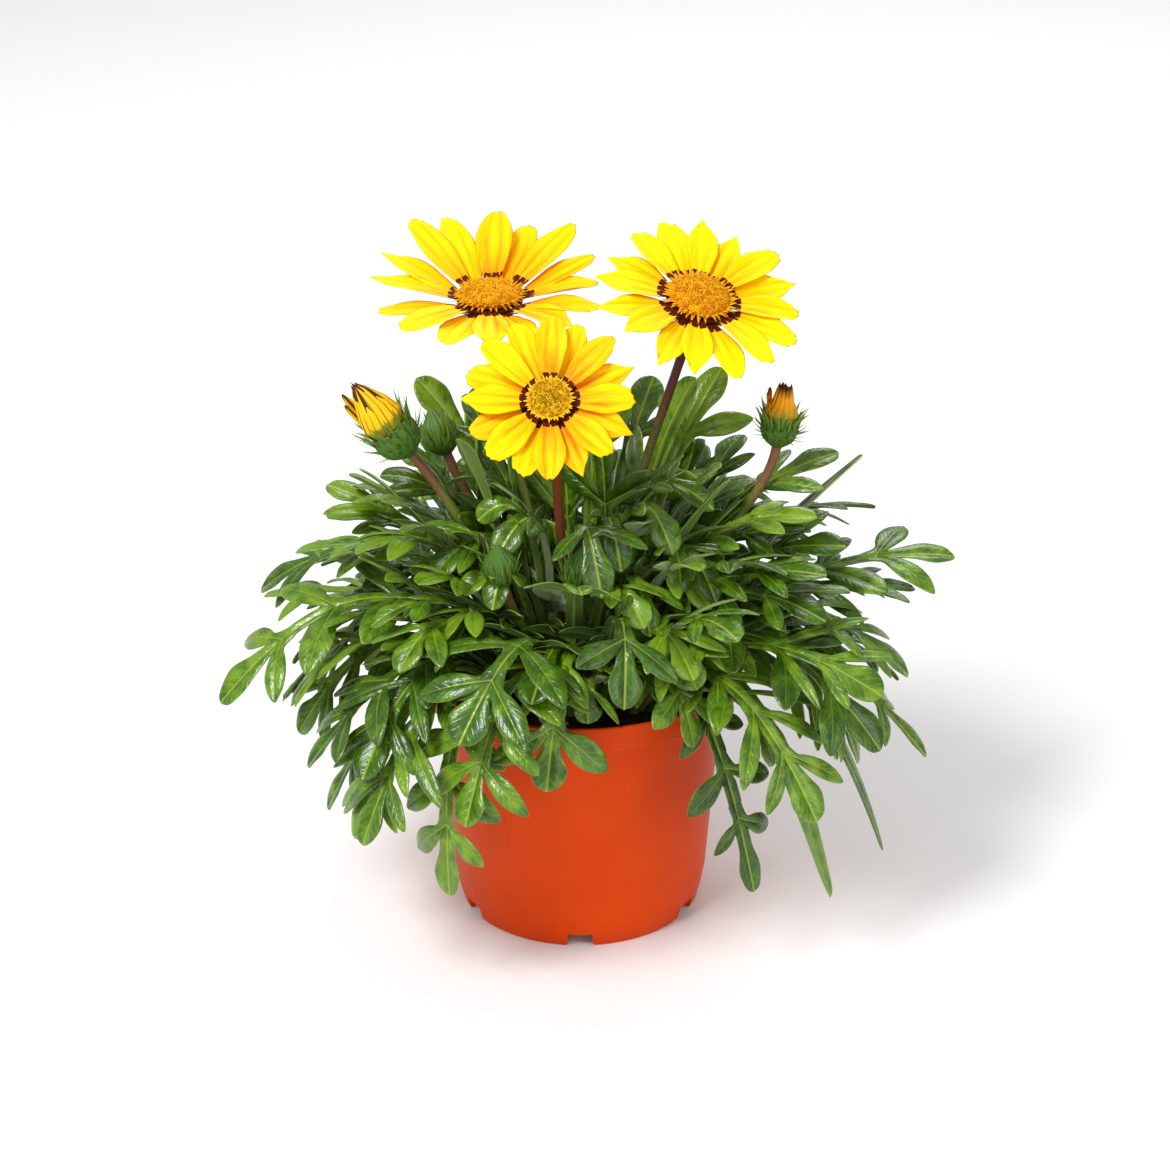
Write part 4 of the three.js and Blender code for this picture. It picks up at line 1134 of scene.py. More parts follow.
@dataclass
class Flower(Head):
    """An open flower: a stem with a green cup, a whorl of ray petals and a disc of florets."""

    radius: float = 41.5
    disc: float = 11.4
    petals: int = 16
    lift: float = 17
    sway: float = 13
    droop: float = 3
    thickness: float = 0.5
    petal_width: float = 13
    layer: float = 1.7
    collar: float = 1.6
    overlap: float = 2.6
    cup_height: float = 13
    plate: float = 2.4
    largest: float = 41.5
    largest_disc: float = 11.4
    florets: int = 330
    gold: float = 0.0
    skin: StemFinish = StemFinish()
    pollen: FloretFinish = FloretFinish()
    fringes: int = 4

    # Each ring of the fringe has a seed, a count, a lean in degrees and a length.
    FRINGE = ((13, 26, 38, 2.6), (9, 28, 56, 3.8), (5, 31, 70, 4.8), (17, 33, 97, 4.6))
    STANDING_FOOT, FALLEN_FOOT = 2.7, 2.2
    # The width of a petal at shares of its length. The last two widths depend on its tip.
    STATIONS = (0, 0.1, 0.25, 0.52, 0.7, 0.86, 0.94, 1)
    WIDTHS = (0.34, 0.44, 0.66, 0.96, 0.98, 0.8)
    END_WIDTH = {Tip.POINTED: 0.3, Tip.BLUNT: 0.58, Tip.NOTCHED: 0.5}
    BAND_REACH = 15.5
    TAB_SHIFT = 20.0  # mm, sets where the band's tabs fall across a petal
    # A floret's rings: radius and height in its own size, how starry, and how bright, where the low
    # rings carry painted shade and the mouth its pollen tip.
    TUBE = (
        (0.0, -0.6, 0.0, 0.25), (0.9, -0.5, 0.1, 0.25), (1.0, 0.7, 0.15, 0.6),
        (1.0, 1.6, 0.4, 0.95), (0.45, 1.1, 0.2, 0.25), (0.0, 0.7, 0.0, 0.25),
    )
    MOUTH = 3
    SIDES = 48

    @property
    def back(self) -> float:
        """The turn, in degrees in the flower's own frame, that points to the plant's back."""
        x, y, _ = np.array([0, 1, 0]) @ turning(self.axis)
        return math.degrees(math.atan2(y, x))

    def cup(self) -> Patch:
        """The green cup below the petals with its ring of pointed bracts."""
        wide = 9.6 * self.disc / self.largest_disc
        wall = [[1.7, -13.0], [wide * 0.42, -11.2], [wide * 0.62, -9.0]]
        wall += [[wide * 0.86, -5.0], [wide * 0.98, -1.7]]
        bowl = self.bowl(wall, 10, 0.08)
        outer = self.ring(10, wide - 1, -4.2, 6.5, 68, self.seed, 1.2, -0.15)
        inner = self.ring(14, wide - 0.6, -3.4, 5.2, 60, self.seed + 30, 0.8, -0.2)
        lower = self.ring(9, wide * 0.7, -7.5, 4.0, 100, self.seed + 50, 0.7, 0.1)
        return joined([bowl, outer, inner, lower])

    def ray(self, i: int) -> Patch:
        """One ray petal as a closed thin blade.

        Args:
            i: its place in the whorl.

        Returns:
            Over rows a (0 at the root, 1 at the tip) and columns v (-1 to 1) the blade lies at
            x = inner + length b, y = half W(a) v and z = layer + length (slope b - bend b^2) +
            relief, where b is a less the tip's corner, W is the outline's half width and the
            relief is a shallow trough with two creases. Its two faces meet at the border.
        """
        seed = self.seed
        turn = math.radians(360 * i / self.petals + jitter(seed, i, 2.5))
        lift = self.lift + self.sway * math.cos(turn - math.radians(self.back))
        slope = math.tan(math.radians(lift + jitter(seed, i + 30, 3)))
        bend = math.tan(math.radians(self.droop)) * (1 + jitter(seed, i + 90, 0.5))
        inner = self.disc + self.collar - self.overlap
        length = self.radius * (1 + jitter(seed, i + 60, 0.05)) - inner
        half = 0.5 * self.petal_width * math.sqrt(self.radius / self.largest)
        kind = list(Tip)[int(3 * draw(seed, i + 120))]
        a = np.linspace(0, 1, 34)[:, None]
        v = np.linspace(-1, 1, 17)[None, :]
        skew = jitter(seed, i + 150, 0.35)
        corner = kind.value * np.abs(v - skew * (1 - v**2)) ** 1.5
        if kind is Tip.NOTCHED:
            corner = corner + 0.035 * np.exp(-(((v - skew) / 0.18) ** 2))
        if kind is Tip.BLUNT:
            corner = corner + 0.02 * np.sin(5 * v + seed) ** 2
        end = self.END_WIDTH[kind]
        widths = [*self.WIDTHS, 0.46 + 0.4 * end, end]
        outline = np.interp(a, self.STATIONS, widths) * (1 + jitter(seed, i + 180, 0.1))
        outline = np.convolve(np.pad(outline[:, 0], 1, "edge"), [0.25, 0.5, 0.25], "valid")
        along = a * (1 - corner)
        x = inner + length * along
        y = half * outline[:, None] * v
        open_part = np.sin(math.pi * np.minimum(a, 0.96)) ** 0.6
        crease = np.exp(-(((np.abs(v) - 0.34) / 0.1) ** 2))
        cup = jitter(seed, i + 200, 0.8) + 1.2
        relief = open_part * (cup * v**2 * outline[:, None] - 0.45 * crease)
        twist = jitter(seed, i + 230, 0.1) * y
        wave = 0.5 * np.sin(7 * along + 3 * v + i) * v**2 * a
        # fold is painted shade: deeper gold in the two creases, and near the root of each lower
        # petal where its neighbours cover it.
        covered = np.abs(v) ** 3 if i % 2 else 0 * v
        fold = np.clip(0.6 * crease * open_part + covered * (1 - a) ** 0.5, 0, 1)
        level = self.layer * (-0.5 if i % 2 else 0.5)
        z = level + length * (slope * along - bend * along**2) + relief + twist + wave
        edge = fullness(v, 8) * fullness(2 * a - 1, 12)
        c, s = math.cos(turn), math.sin(turn)
        sheets = []
        for face in (1, -1):
            high = z + face * self.thickness / 2 * edge
            points = np.stack([c * x - s * y, s * x + c * y, high], axis=-1)
            sheets.append(
                net(
                    points,
                    flip=face < 0,
                    reach=np.hypot(x, y) * self.largest_disc / self.disc,
                    side=y + self.TAB_SHIFT,
                    band=self.BAND_REACH + jitter(seed, i + 260, 0.7),
                    fold=fold,
                    tone=draw(seed, i + 290) + self.gold,
                    under=(1 - face) / 2,
                )
            )
        return joined(sheets).turned_out()

    def hub(self) -> Patch:
        """The plate that the petals join, a revolved disc with a rounded rim. Its marks put all of
        it inside the dark band."""
        radius = self.disc + self.collar - 1.2
        section = rounded(np.array([[0, -1.0], [radius, -1.0], [radius, 1.0], [0, 1.0]]), 0.8, 4)
        points = revolved(section[:, :1], section[:, 1:], self.SIDES)
        side = self.TAB_SHIFT + points[..., 0]
        return net(points, wrap=True, reach=10.0, side=side, band=30.0).turned_out()

    def dome(self) -> Patch:
        """The disc's ground, an elliptic dome a little inside the florets' tips, in the darkest
        colour as painted shade under the florets.
        """
        scale = self.disc / self.largest_disc
        foot = self.plate / 2 + GAP
        rise = np.linspace(0, math.pi / 2, 12)
        radius = np.concatenate([[0, self.disc * 0.94], self.disc * 0.95 * np.cos(rise)])
        height = np.concatenate([[foot, foot], foot + 0.5 + 3.7 * scale * np.sin(rise)])
        points = revolved(radius[:, None], height[:, None], self.SIDES)
        return net(points, wrap=True, height=0.0).turned_out()

    def floret_net(self) -> Patch:
        """The florets, on a sunflower spiral over the dome.

        Returns:
            Each floret is a five-pointed tube: rings whose radius at turn a is r (1 + open
            cos 5a), closed in the middle of the disc and open towards its rim.
        """
        scale = self.disc / self.largest_disc
        count = np.arange(self.florets)
        share = np.sqrt((count + 0.5) / self.florets)
        where = np.radians(count * GOLDEN_ANGLE)
        foot = self.plate / 2 + GAP + 0.4
        rise = np.sqrt(1 - (share * 0.98) ** 2)
        centre = np.stack(
            [
                self.disc * 0.95 * share * np.cos(where),
                self.disc * 0.95 * share * np.sin(where),
                foot + 3.8 * scale * rise,
            ],
            axis=1,
        )
        slant = share**2
        out = unit(
            np.stack([slant * np.cos(where), slant * np.sin(where), 0 * where + 0.9], axis=1)
        )
        side = unit(np.cross(out, [0.2, 0.1, 1.0]))
        other = np.cross(out, side)
        opened = np.clip((share - 0.35) / 0.5, 0, 1) * (0.75 + 0.5 * draw(self.seed, count))
        size = scale * (0.36 + 0.14 * draw(self.seed + 1, count))
        a = circle(10)
        spin = 6.3 * draw(self.seed + 2, count)[:, None]
        rows, marks = [], []
        for place, (radius, height, star, bright) in enumerate(self.TUBE):
            grow = 1 + (0.9 * opened[:, None] if place == self.MOUTH else 0)
            r = size[:, None] * radius * grow * (1 + star * np.cos(5 * a))
            flat = side[:, None] * np.cos(a + spin)[..., None]
            flat = flat + other[:, None] * np.sin(a + spin)[..., None]
            lifted = centre[:, None] + out[:, None] * (height * size)[:, None, None]
            rows.append(lifted + flat * r[..., None])
            marks.append(np.full((len(count), len(a)), bright))
        points = np.stack(rows, axis=1)
        height = np.stack(marks, axis=1)
        tone = jitter(self.seed + 3, count, 1)[:, None, None]
        return net(points, wrap=True, height=height, tone=tone).turned_out()

    def points_ring(self) -> Patch:
        """The points of the outermost florets, which lie over the petals' dark band. Each next
        ring leans further out, and the last one falls over the band."""
        scale = self.disc / self.largest_disc
        patches = []
        for seed, count, lean, size in self.FRINGE[: self.fringes]:
            foot = self.disc * (0.98 - 0.02 * size)
            low = self.STANDING_FOOT if lean < 90 else self.FALLEN_FOOT
            ring = self.ring(count, foot, low, size * scale, lean, self.seed + seed, 1.0, -0.1)
            height = 0.5 + 0.45 * ring.marks["tip"]
            patches.append(Patch(ring.points, ring.faces, {"height": height}))
        return joined(patches)

    def build(self, origin: Array, finishes: "Finishes") -> list[bpy.types.Object]:
        """Makes the flower's three pieces."""
        name = f"flower_{self.name}"
        green = joined([self.stem(self.cup_height), self.placed(self.cup())])
        skin = self.skin.build(f"Gazania flower stem and cup, {self.name}")
        rays = [self.placed(self.ray(i)) for i in range(self.petals)]
        rays.append(self.placed(self.hub()))
        parts = [self.placed(p) for p in (self.dome(), self.floret_net(), self.points_ring())]
        pollen = self.pollen.build(f"Gazania disc florets, pollen dusted, {self.name}")
        made = (
            (Piece(f"{name}_stem", "flower_stem", skin, [green]), "stem_and_cup"),
            (Piece(f"{name}_rays", "petal", finishes.petal, rays), "petals"),
            (Piece(f"{name}_florets", "floret_disc", pollen, parts), "disc"),
        )
        return [piece.build(origin, f"{name}_{node}") for piece, node in made]


# ---------------------------------------------------------------- buds


@dataclass
class Bud(Head):
    """A bud: a green cup with bracts, and a cone of rolled rays where it is about to open."""

    cup_radius: float = 6.6
    rays: float = 0
    bracts: int = 6
    spread: float = 24
    taper: tuple[float, float, float] = (0.86, 0.46, 0.16)
    blades: int = 13
    loose: int = 0
    petal: BudFinish = BudFinish()

    # A blade's shift round the axis, its share of the width, the turn on its way up and how far
    # it leaves the spindle for a wall of its own.
    ROLLED_BLADE = (0, 1, 0.5, 0.0)
    LOOSE_BLADE = (2.6, 0.35, 0, 0.95)

    @property
    def height(self) -> float:
        """The green cup's height."""
        return 1.45 * self.cup_radius

    def cup(self) -> Patch:
        """The green cup: a bowl below the rays, or a closed pointed egg on a shut bud."""
        cup, height = self.cup_radius, self.height
        wall = [
            [1.9, -height],
            [cup * 0.78, -height * 0.72],
            [cup, -height * 0.36],
        ]
        if self.rays:
            wall += [[cup - 0.4, -0.1]]
        else:
            wall += [[cup * 0.92, 1.2], [cup * 0.5, cup * 0.8], [0.05, cup * 1.43]]
        body = self.bowl(wall, 14, 0.14)
        seed, many, lean = self.seed, self.bracts, self.spread
        rings = [
            self.ring(many, cup - 0.7, -1.4, 1.45 * cup, lean * 0.5, seed, 1.2, -0.12),
            self.ring(many - 3, cup - 1, -height * 0.45, 1.1 * cup, lean * 1.7, seed + 20, 1.2),
            self.ring(many + 7, cup - 0.4, -2.2, 1.2 * cup, lean * 0.4, seed + 40, 0.8, -0.1),
            self.ring(many + 6, cup - 0.3, -height * 0.4, 0.9 * cup, lean * 1.3, seed + 50, 0.6),
            self.ring(many + 4, cup * 0.85, -height * 0.62, 0.8 * cup, lean * 2.2, seed + 60, 0.5),
        ]
        if self.rays:
            rings.append(self.ring(many + 6, cup - 1, -0.6, cup, lean * 0.7, seed + 70, 1.5, -0.2))
        return joined([body, *rings])

    def cone(self) -> Patch:
        """The rolled rays: blades that wrap round a spindle, each over the edge of the next.

        Returns:
            The blade at turn offset v and height h lies at radius R(h) (0.96 + 0.08 v) from the
            axis, where R is the spindle's profile, and it leans round by 0.5 rad on its way up.
            The spindle inside them is closed. A loose blade leans out on its own.
        """
        base, blades = self.cup_radius - 1.4, self.blades
        h = np.linspace(0, 1, 26)[:, None]
        v = np.linspace(-1, 1, 13)[None, :]
        half, near, end = self.taper
        stations = [0, 0.2, 0.5, 0.82, 0.97, 1.0]
        profile = np.interp(h, stations, [0.86, 1.06, half, near, end, end * 0.9])
        narrow = np.interp(h, [0, 0.5, 0.9, 1.0], [1.0, 1.0, 0.75, 0.3])
        core = np.interp(h, stations, [0.7, 0.9, half * 0.88, near * 0.8, 0.0, 0.0])
        inner = revolved(base * core, self.rays * h, 16)
        inner = np.concatenate([inner[:1] * [0, 0, 1], inner])
        level = np.concatenate([h[:1], h])
        patches = [net(inner, wrap=True, across=0.0, along=level, tone=0.5).turned_out()]
        edge = fullness(v, 8) * fullness(h, 16)
        fold = 0.3 * np.exp(-((v / 0.3) ** 2)) * np.sin(math.pi * h)
        for i in range(blades + self.loose):
            apart = max(0, i + 1 - blades)
            reach = 1 - 0.16 * draw(self.seed, i + 300) - 0.1 * apart
            shift, slim, round_by, lean = self.LOOSE_BLADE if apart else self.ROLLED_BLADE
            place = 2 * math.pi * (i / blades) + shift
            turn = place + round_by * h + 0.62 * v * narrow * slim
            wall = base * lerp(profile, 0.9 + 0.25 * h, lean)
            sheets = []
            for face in (1, -1):
                radius = wall * (0.96 + 0.08 * v) + 0.14 * face * edge - fold
                height = self.rays * reach * h * (1 - 0.08 * v**2 * h)
                points = np.stack(
                    [radius * np.cos(turn), radius * np.sin(turn), GAP + height], axis=-1
                )
                tone = draw(self.seed, i + 330)
                sheets.append(
                    net(points, flip=face < 0, across=v + 0 * h, along=h + 0 * v, tone=tone)
                )
            patches.append(joined(sheets).turned_out())
        return joined(patches)

    def build(self, origin: Array, finishes: "Finishes") -> list[bpy.types.Object]:
        """Makes the bud's green piece and, where it shows them, its rays."""
        green = joined([self.stem(self.height), self.placed(self.cup())])
        skin = finishes.bud_stem
        if not self.rays:
            name = f"green_bud_{self.name}"
            return [Piece(f"{name}_whole", "bud_green", skin, [green]).build(origin, name)]
        name = f"bud_{self.name}"
        cone = [self.placed(self.cone())]
        petal = self.petal.build(f"Gazania rolled ray petal, striped, {self.name}")
        return [
            Piece(f"{name}_green", "bud_green", skin, [green]).build(
                origin, f"{name}_stem_and_cup"
            ),
            Piece(f"{name}_cone", "bud_ray", petal, cone).build(origin, f"{name}_rays"),
        ]


# ---------------------------------------------------------------- leaves


class Ring(Enum):
    """The rings that leaves grow from: the root's radius, and where the lobes begin."""

    LOW = (28, 0.47)
    MIDDLE = (22, 0.45)
    UPPER = (16, 0.4)


@dataclass(frozen=True)
class Frames:
    """Places along a midrib, with the blade's own directions at each."""

    centre: Array
    along: Array
    side: Array
    up: Array


@dataclass
class Midrib:
    """A parabola through the root and the tip, with stations by its length."""

    root: Array
    pull: Array
    tip: Array
    across: Array
    roll: float

    def __post_init__(self) -> None:
        """Measures the curve in 200 short steps."""
        self.steps = np.linspace(0, 1, 201)
        chords = np.linalg.norm(np.diff(self.at(self.steps), axis=0), axis=1)
        self.reach = np.concatenate([[0], np.cumsum(chords)])
        self.length = float(self.reach[-1])

    def at(self, t: Array) -> Array:
        """The points at t: (1 - t)^2 root + 2 t (1 - t) pull + t^2 tip."""
        t = np.asarray(t)[:, None]
        return (1 - t) ** 2 * self.root + 2 * t * (1 - t) * self.pull + t**2 * self.tip

    def frame(self, u: Array) -> Frames:
        """The blade's directions at shares u of the midrib's length.

        Args:
            u: (n,) numbers from 0 at the soil to 1 at the tip.

        Returns:
            The frames. side starts level and turns by roll u about the midrib.
        """
        u = np.atleast_1d(np.asarray(u, float))
        t = np.interp(u * self.length, self.reach, self.steps)
        step = 1e-4
        along = unit(self.at(np.minimum(1, t + step)) - self.at(np.maximum(0, t - step)))
        level = unit(self.across - along * (along @ self.across)[:, None])
        above = np.cross(along, level)
        c, s = np.cos(self.roll * u)[:, None], np.sin(self.roll * u)[:, None]
        return Frames(self.at(t), along, level * c + above * s, above * c - level * s)


@dataclass(frozen=True)
class Lobe:
    """A side lobe's own axes and sizes."""

    root: Array
    vein: Array
    cross: Array
    up: Array
    length: float
    half_width: float
    curl: float
    keel: float

    def at(self, t: Array, width: Array) -> Array:
        """The point a share t along the vein and width half widths across.

        Args:
            t: from 0 at the midrib to 1 at the lobe's tip.
            width: from -1 on the near side to 1 on the far side.

        Returns:
            root + vein length t + cross half_width width + up length (0.2 t - curl t^2).
        """
        t, width = np.asarray(t)[:, None], np.asarray(width)[:, None]
        arch = self.length * (0.2 * t - self.curl * t**2)
        return (
            self.root
            + self.vein * self.length * t
            + self.cross * self.half_width * width
            + self.up * arch
        )


@dataclass(frozen=True)
class Rows:
    """Rows of a half blade: each joins a place on a vein to a place on the outline."""

    spine: Array
    spine_up: Array
    edge: Array
    edge_up: Array
    keel: Array
    line: Array
    stalk: Array
    strength: Array
    along: Array

    @staticmethod
    def stacked(rows: list["Rows"]) -> "Rows":
        """Several stretches of rows, end to end."""
        names = Rows.__dataclass_fields__
        return Rows(*(np.concatenate([getattr(r, name) for r in rows]) for name in names))


@dataclass(frozen=True)
class Fineness:
    """How many rows a leaf has round a lobe, up its stalk, between two lobes and round its end,
    and where its columns stand from vein (0) to outline (1)."""

    lobe: int
    stalk: int
    between: int
    end: int
    across: tuple[float, ...]


FINE = Fineness(37, 14, 5, 26, (0, 0.08, 0.24, 0.48, 0.76, 0.95, 1))
PLAIN = Fineness(21, 8, 3, 15, (0, 0.16, 0.5, 0.9, 1))


@dataclass(frozen=True)
class Leaf:
    """A lobed or undivided leaf on its stalk.

    The knee and the tip are [reach from the pot's axis, height]. lobe is the length of the
    longest side lobe, and where pairs is 0 the width of the blade. slim scales the lobes' width,
    and splay is their angle to the midrib in degrees.
    """

    azimuth: float
    ring: Ring
    knee: tuple[float, float]
    tip: tuple[float, float]
    pairs: int
    lobe: float
    slim: float = 1.0
    splay: float = 58.0

    THICKNESS = 0.9
    PETIOLE, PETIOLE_END, WING, KEEL, TROUGH = 1.7, 0.26, 3.0, 1.3, 0.15
    LAST_LOBE, LOBE_BASE, LONE_PAIR = 0.77, 5.5, 0.6
    SOLID_LOBE = ((0.62, -1), (0.98, -0.5), (0.98, 0.5), (0.62, 1))
    SOLID_END = ((0.93, 1), (0.985, 0.55))
    SOLID_SIMPLE = ((0.45, 0.55), (0.66, 1), (0.88, 0.72))
    LOBE_KNOTS = ((0.17, 0.46), (0.36, 0.76), (0.58, 0.97), (0.78, 0.8), (0.92, 0.42))
    VEIN_KNOTS = (0.0, 0.07, 0.25, 0.5, 0.72, 0.88, 0.945)
    # The blade's end as [share of the midrib, share of the half width].
    END_LOBE = 0.23
    END_KNOTS = ((0.92, 1), (0.965, 0.8), (0.988, 0.48), (1, 0))
    SIMPLE_KNOTS = ((0.66, 1), (0.84, 0.82), (0.95, 0.5), (0.985, 0.28), (1, 0))
    PALE_SHARE, PALE_FELT, THIN_FELT = 0.2, 0.9, 0.1
    SKIN, BELLY, GROOVE, GROOVE_WIDTH, RIPPLE = 0.28, 0.5, 0.35, 0.8, 0.25
    NEAREST_BOX = 0.05

    def midrib(self, seed: int, nudge: int) -> Midrib:
        """The midrib after the k-th small change of direction.

        Args:
            seed: the leaf's number.
            nudge: k. The changes lie on a sunflower spiral of swings and lifts.

        Returns:
            The curve through the root, the knee and the tip.
        """
        size = 1.4 * math.sqrt(nudge)
        turn = math.radians(nudge * GOLDEN_ANGLE)
        azimuth = self.azimuth + size * math.cos(turn)
        lift = math.radians(size * math.sin(turn))
        out, across = direction(azimuth, 0), direction(azimuth + 90, 0)
        foot = np.array([self.ring.value[0] + 3.5 * math.sin(3 * turn), FOOT_LEVEL])
        c, s = math.cos(lift), math.sin(lift)
        places = [foot + np.array([[c, -s], [s, c]]) @ (p - foot) for p in (self.knee, self.tip)]
        up = np.array([0, 0, 1])
        root = foot[0] * out + foot[1] * up
        knee = places[0][0] * out + places[0][1] * up + across * jitter(seed, 1, 6)
        tip = places[1][0] * out + places[1][1] * up + across * jitter(seed, 2, 8)
        pull = 2 * knee - 0.5 * root - 0.5 * tip
        return Midrib(root, pull, tip, across, math.radians(jitter(seed, 3, 24)))

    def wing(self, u: Array) -> Array:
        """Half the width of the green strip beside the midrib, from the stalk into the blade."""
        return lerp(self.PETIOLE, self.WING, np.minimum(1, 2 * np.asarray(u)))

    def station(self, pair: int) -> float:
        """Where along the midrib a pair of lobes stands."""
        place = pair / (self.pairs - 1) if self.pairs > 1 else self.LONE_PAIR
        return lerp(self.ring.value[1], self.LAST_LOBE, place)

    def beside(self, rib: Midrib, u: Array, half: int, width: Array) -> Rows:
        """Rows that join the midrib to the outline beside it.

        Args:
            rib: the midrib.
            u: shares of its length.
            half: 1 or -1, the side.
            width: the outline's distance at each place.

        Returns:
            The rows. The edge stands 0.15 of its distance above the midrib.
        """
        u = np.atleast_1d(np.asarray(u, float))
        width = np.broadcast_to(np.asarray(width, float), u.shape)[:, None]
        at = rib.frame(u)
        edge = at.centre + at.side * half * width + at.up * self.TROUGH * width
        stalk = np.clip(1 - u / 0.45, 0, 1)
        line = lerp(0.5, 1.7, stalk)
        strength = lerp(0.55, 0.9, stalk)
        keel = self.KEEL * (1 - u)
        along = u * rib.length
        return Rows(at.centre, at.up, edge, at.up, keel, line, stalk, strength, along)

    def side_lobe(self, rib: Midrib, seed: int, pair: int, half: int) -> Lobe:
        """The axes and sizes of one side lobe, the middle pairs being the longest."""
        count = 10 * (pair + 1) + half
        place = pair / (self.pairs - 1) if self.pairs > 1 else self.LONE_PAIR
        full = lerp(0.72, 1, math.sin(math.pi * (0.15 + 0.75 * place)))
        length = self.lobe * full * (1 + jitter(seed, count, 0.12))
        angle = math.radians(self.splay + 8 * (0.5 - place) + jitter(seed, count + 3, 4))
        span = self.LAST_LOBE - self.ring.value[1]
        room = math.sin(angle) * rib.length * span / max(1, self.pairs - 1)
        u = self.station(pair)
        at = rib.frame(u)
        along, side = at.along[0], at.side[0] * half
        return Lobe(
            root=at.centre[0],
            vein=along * math.cos(angle) + side * math.sin(angle),
            cross=along * math.sin(angle) - side * math.cos(angle),
            up=at.up[0],
            length=float(length),
            half_width=float(min(0.2 * length, 0.36 * room)) * self.slim,
            curl=float(0.34 + jitter(seed, count + 6, 0.14)),
            keel=self.KEEL * (1 - u),
        )

    def solid_corners(self, seed: int, nudge: int) -> Array:
        """The corners of the leaf's solid, which tell where it lies.

        Args:
            seed: the leaf's number.
            nudge: which small change of direction it took.

        Returns:
            (n, 3) points in mm.
        """
        rib = self.midrib(seed, nudge)
        thick = self.THICKNESS / 2
        points = []
        reach = self.LOBE_BASE / rib.length
        end = self.END_LOBE * self.lobe
        for half in (1, -1):
            ends = [0, self.PETIOLE_END]
            stations = [self.station(p) for p in range(self.pairs)]
            roots = [u + k * reach for u in stations for k in (-1, 1)]
            if self.pairs:
                outline = [(u, end * w) for u, w in self.SOLID_END]
            else:
                outline = [
                    (u, max(self.WING, 0.5 * self.lobe * w)) for u, w in self.SOLID_SIMPLE
                ]
            u = np.array(ends + roots + [u for u, _ in outline])
            width = np.concatenate([self.wing(np.array(ends + roots)), [w for _, w in outline]])
            row = self.beside(rib, u, half, width)
            keel = row.keel[:, None]
            points += [row.spine + row.spine_up * thick, row.spine - row.spine_up * (thick + keel)]
            points += [row.edge + row.edge_up * thick, row.edge - row.edge_up * thick]
            for pair in range(self.pairs):
                lobe = self.side_lobe(rib, seed, pair, half)
                t, w = np.array(self.SOLID_LOBE).T
                edge = lobe.at(t, w)
                points += [edge + lobe.up * thick, edge - lobe.up * thick]
                points += [lobe.root[None] + lobe.up * thick]
                points += [lobe.root[None] - lobe.up * (thick + lobe.keel)]
        tip = rib.frame(1.0)
        points += [tip.centre + tip.up * thick, tip.centre - tip.up * thick]
        return np.concatenate(points)

    def settled(self, seed: int, low: Array, high: Array) -> int:
        """Which small change of direction the solid took.

        Args:
            seed: the leaf's number.
            low: the lowest corner of its node's box, in mm from the pot's axis.
            high: the highest corner.

        Returns:
            The change whose solid fills that box best.
        """
        best, least = 0, math.inf
        for nudge in range(400):
            corners = self.solid_corners(seed, nudge)
            miss = np.abs(corners.min(0) - low).max() + np.abs(corners.max(0) - high).max()
            if miss < least:
                best, least = nudge, float(miss)
            if miss < self.NEAREST_BOX:
                break
        if least > self.NEAREST_BOX:
            log.warning("leaf %d: nearest box misses by %.2f mm", seed, least)
        return best

    def lobe_rows(self, rib: Midrib, seed: int, pair: int, half: int, count: int) -> Rows:
        """The rows round one side lobe: out along its vein, round its tip and back.

        Args:
            rib: the midrib.
            seed: the leaf's number.
            pair: which pair the lobe is in.
            half: 1 or -1, the side.
            count: how many rows.

        Returns:
            The rows. The outline is a smooth curve through the near root, the lobe's own knots
            and the far root, and the vein's places run out and back in step with it.
        """
        u = self.station(pair)
        reach = self.LOBE_BASE / rib.length
        near = self.beside(rib, u - reach, half, self.wing(u))
        far = self.beside(rib, u + reach, half, self.wing(u))
        lobe = self.side_lobe(rib, seed, pair, half)
        t, w = np.array(self.LOBE_KNOTS).T
        shape = 1 + jitter(seed, 10 * pair + half + 60, 0.1)
        outline = lobe.at(
            np.concatenate([t, [0.99], t[::-1]]),
            np.concatenate([-w * shape, [0], w[::-1] * shape]).clip(-1.08, 1.08),
        )
        knots = np.concatenate([near.edge, outline, far.edge])
        steps = np.array(self.VEIN_KNOTS)
        vein = np.concatenate([steps, steps[-2::-1]])
        edge = smooth_path(knots, count)
        t = np.clip(smooth_path(vein[:, None], count)[:, 0], 0, 1)
        spine = lobe.at(t, 0 * t)
        up = np.broadcast_to(lobe.up, edge.shape)
        keel = lobe.keel * (1 - t) ** 1.5
        line = lerp(0.42, 0.2, t)
        strength = lerp(0.5, 0.15, t)
        return Rows(spine, up, edge, up, keel, line, 0 * t, strength, t * lobe.length)

    def rows(self, rib: Midrib, seed: int, half: int, fineness: Fineness) -> Rows:
        """All rows of one half, from the soil to the tip."""
        reach = self.LOBE_BASE / rib.length
        stations = [self.station(pair) for pair in range(self.pairs)]
        first = stations[0] - reach if self.pairs else self.PETIOLE_END
        stretches = []
        u = np.linspace(0, first, fineness.stalk)
        stretches.append(self.beside(rib, u, half, self.wing(u)))
        for pair, u in enumerate(stations):
            stretches.append(self.lobe_rows(rib, seed, pair, half, fineness.lobe))
            if pair + 1 < self.pairs:
                between = np.linspace(u + reach, stations[pair + 1] - reach, fineness.between)
                stretches.append(self.beside(rib, between, half, self.wing(between)))
        if self.pairs:
            start, half_width = stations[-1] + reach, self.END_LOBE * self.lobe
            shoulder = [lerp(start, 0.93, 0.45), 0.66 * half_width]
            knots = self.END_KNOTS
        else:
            start, half_width = first, 0.5 * self.lobe
            shoulder = [0.45, max(self.WING, 0.6 * half_width)]
            knots = self.SIMPLE_KNOTS
        outline = [[start, self.wing(start)], shoulder]
        outline += [[u, width * half_width] for u, width in knots]
        path = smooth_path(np.array(outline), fineness.end)
        u, width = np.clip(path[:, 0], 0, 1), np.maximum(0, path[:, 1])
        stretches.append(self.beside(rib, u, half, width))
        return Rows.stacked(stretches)

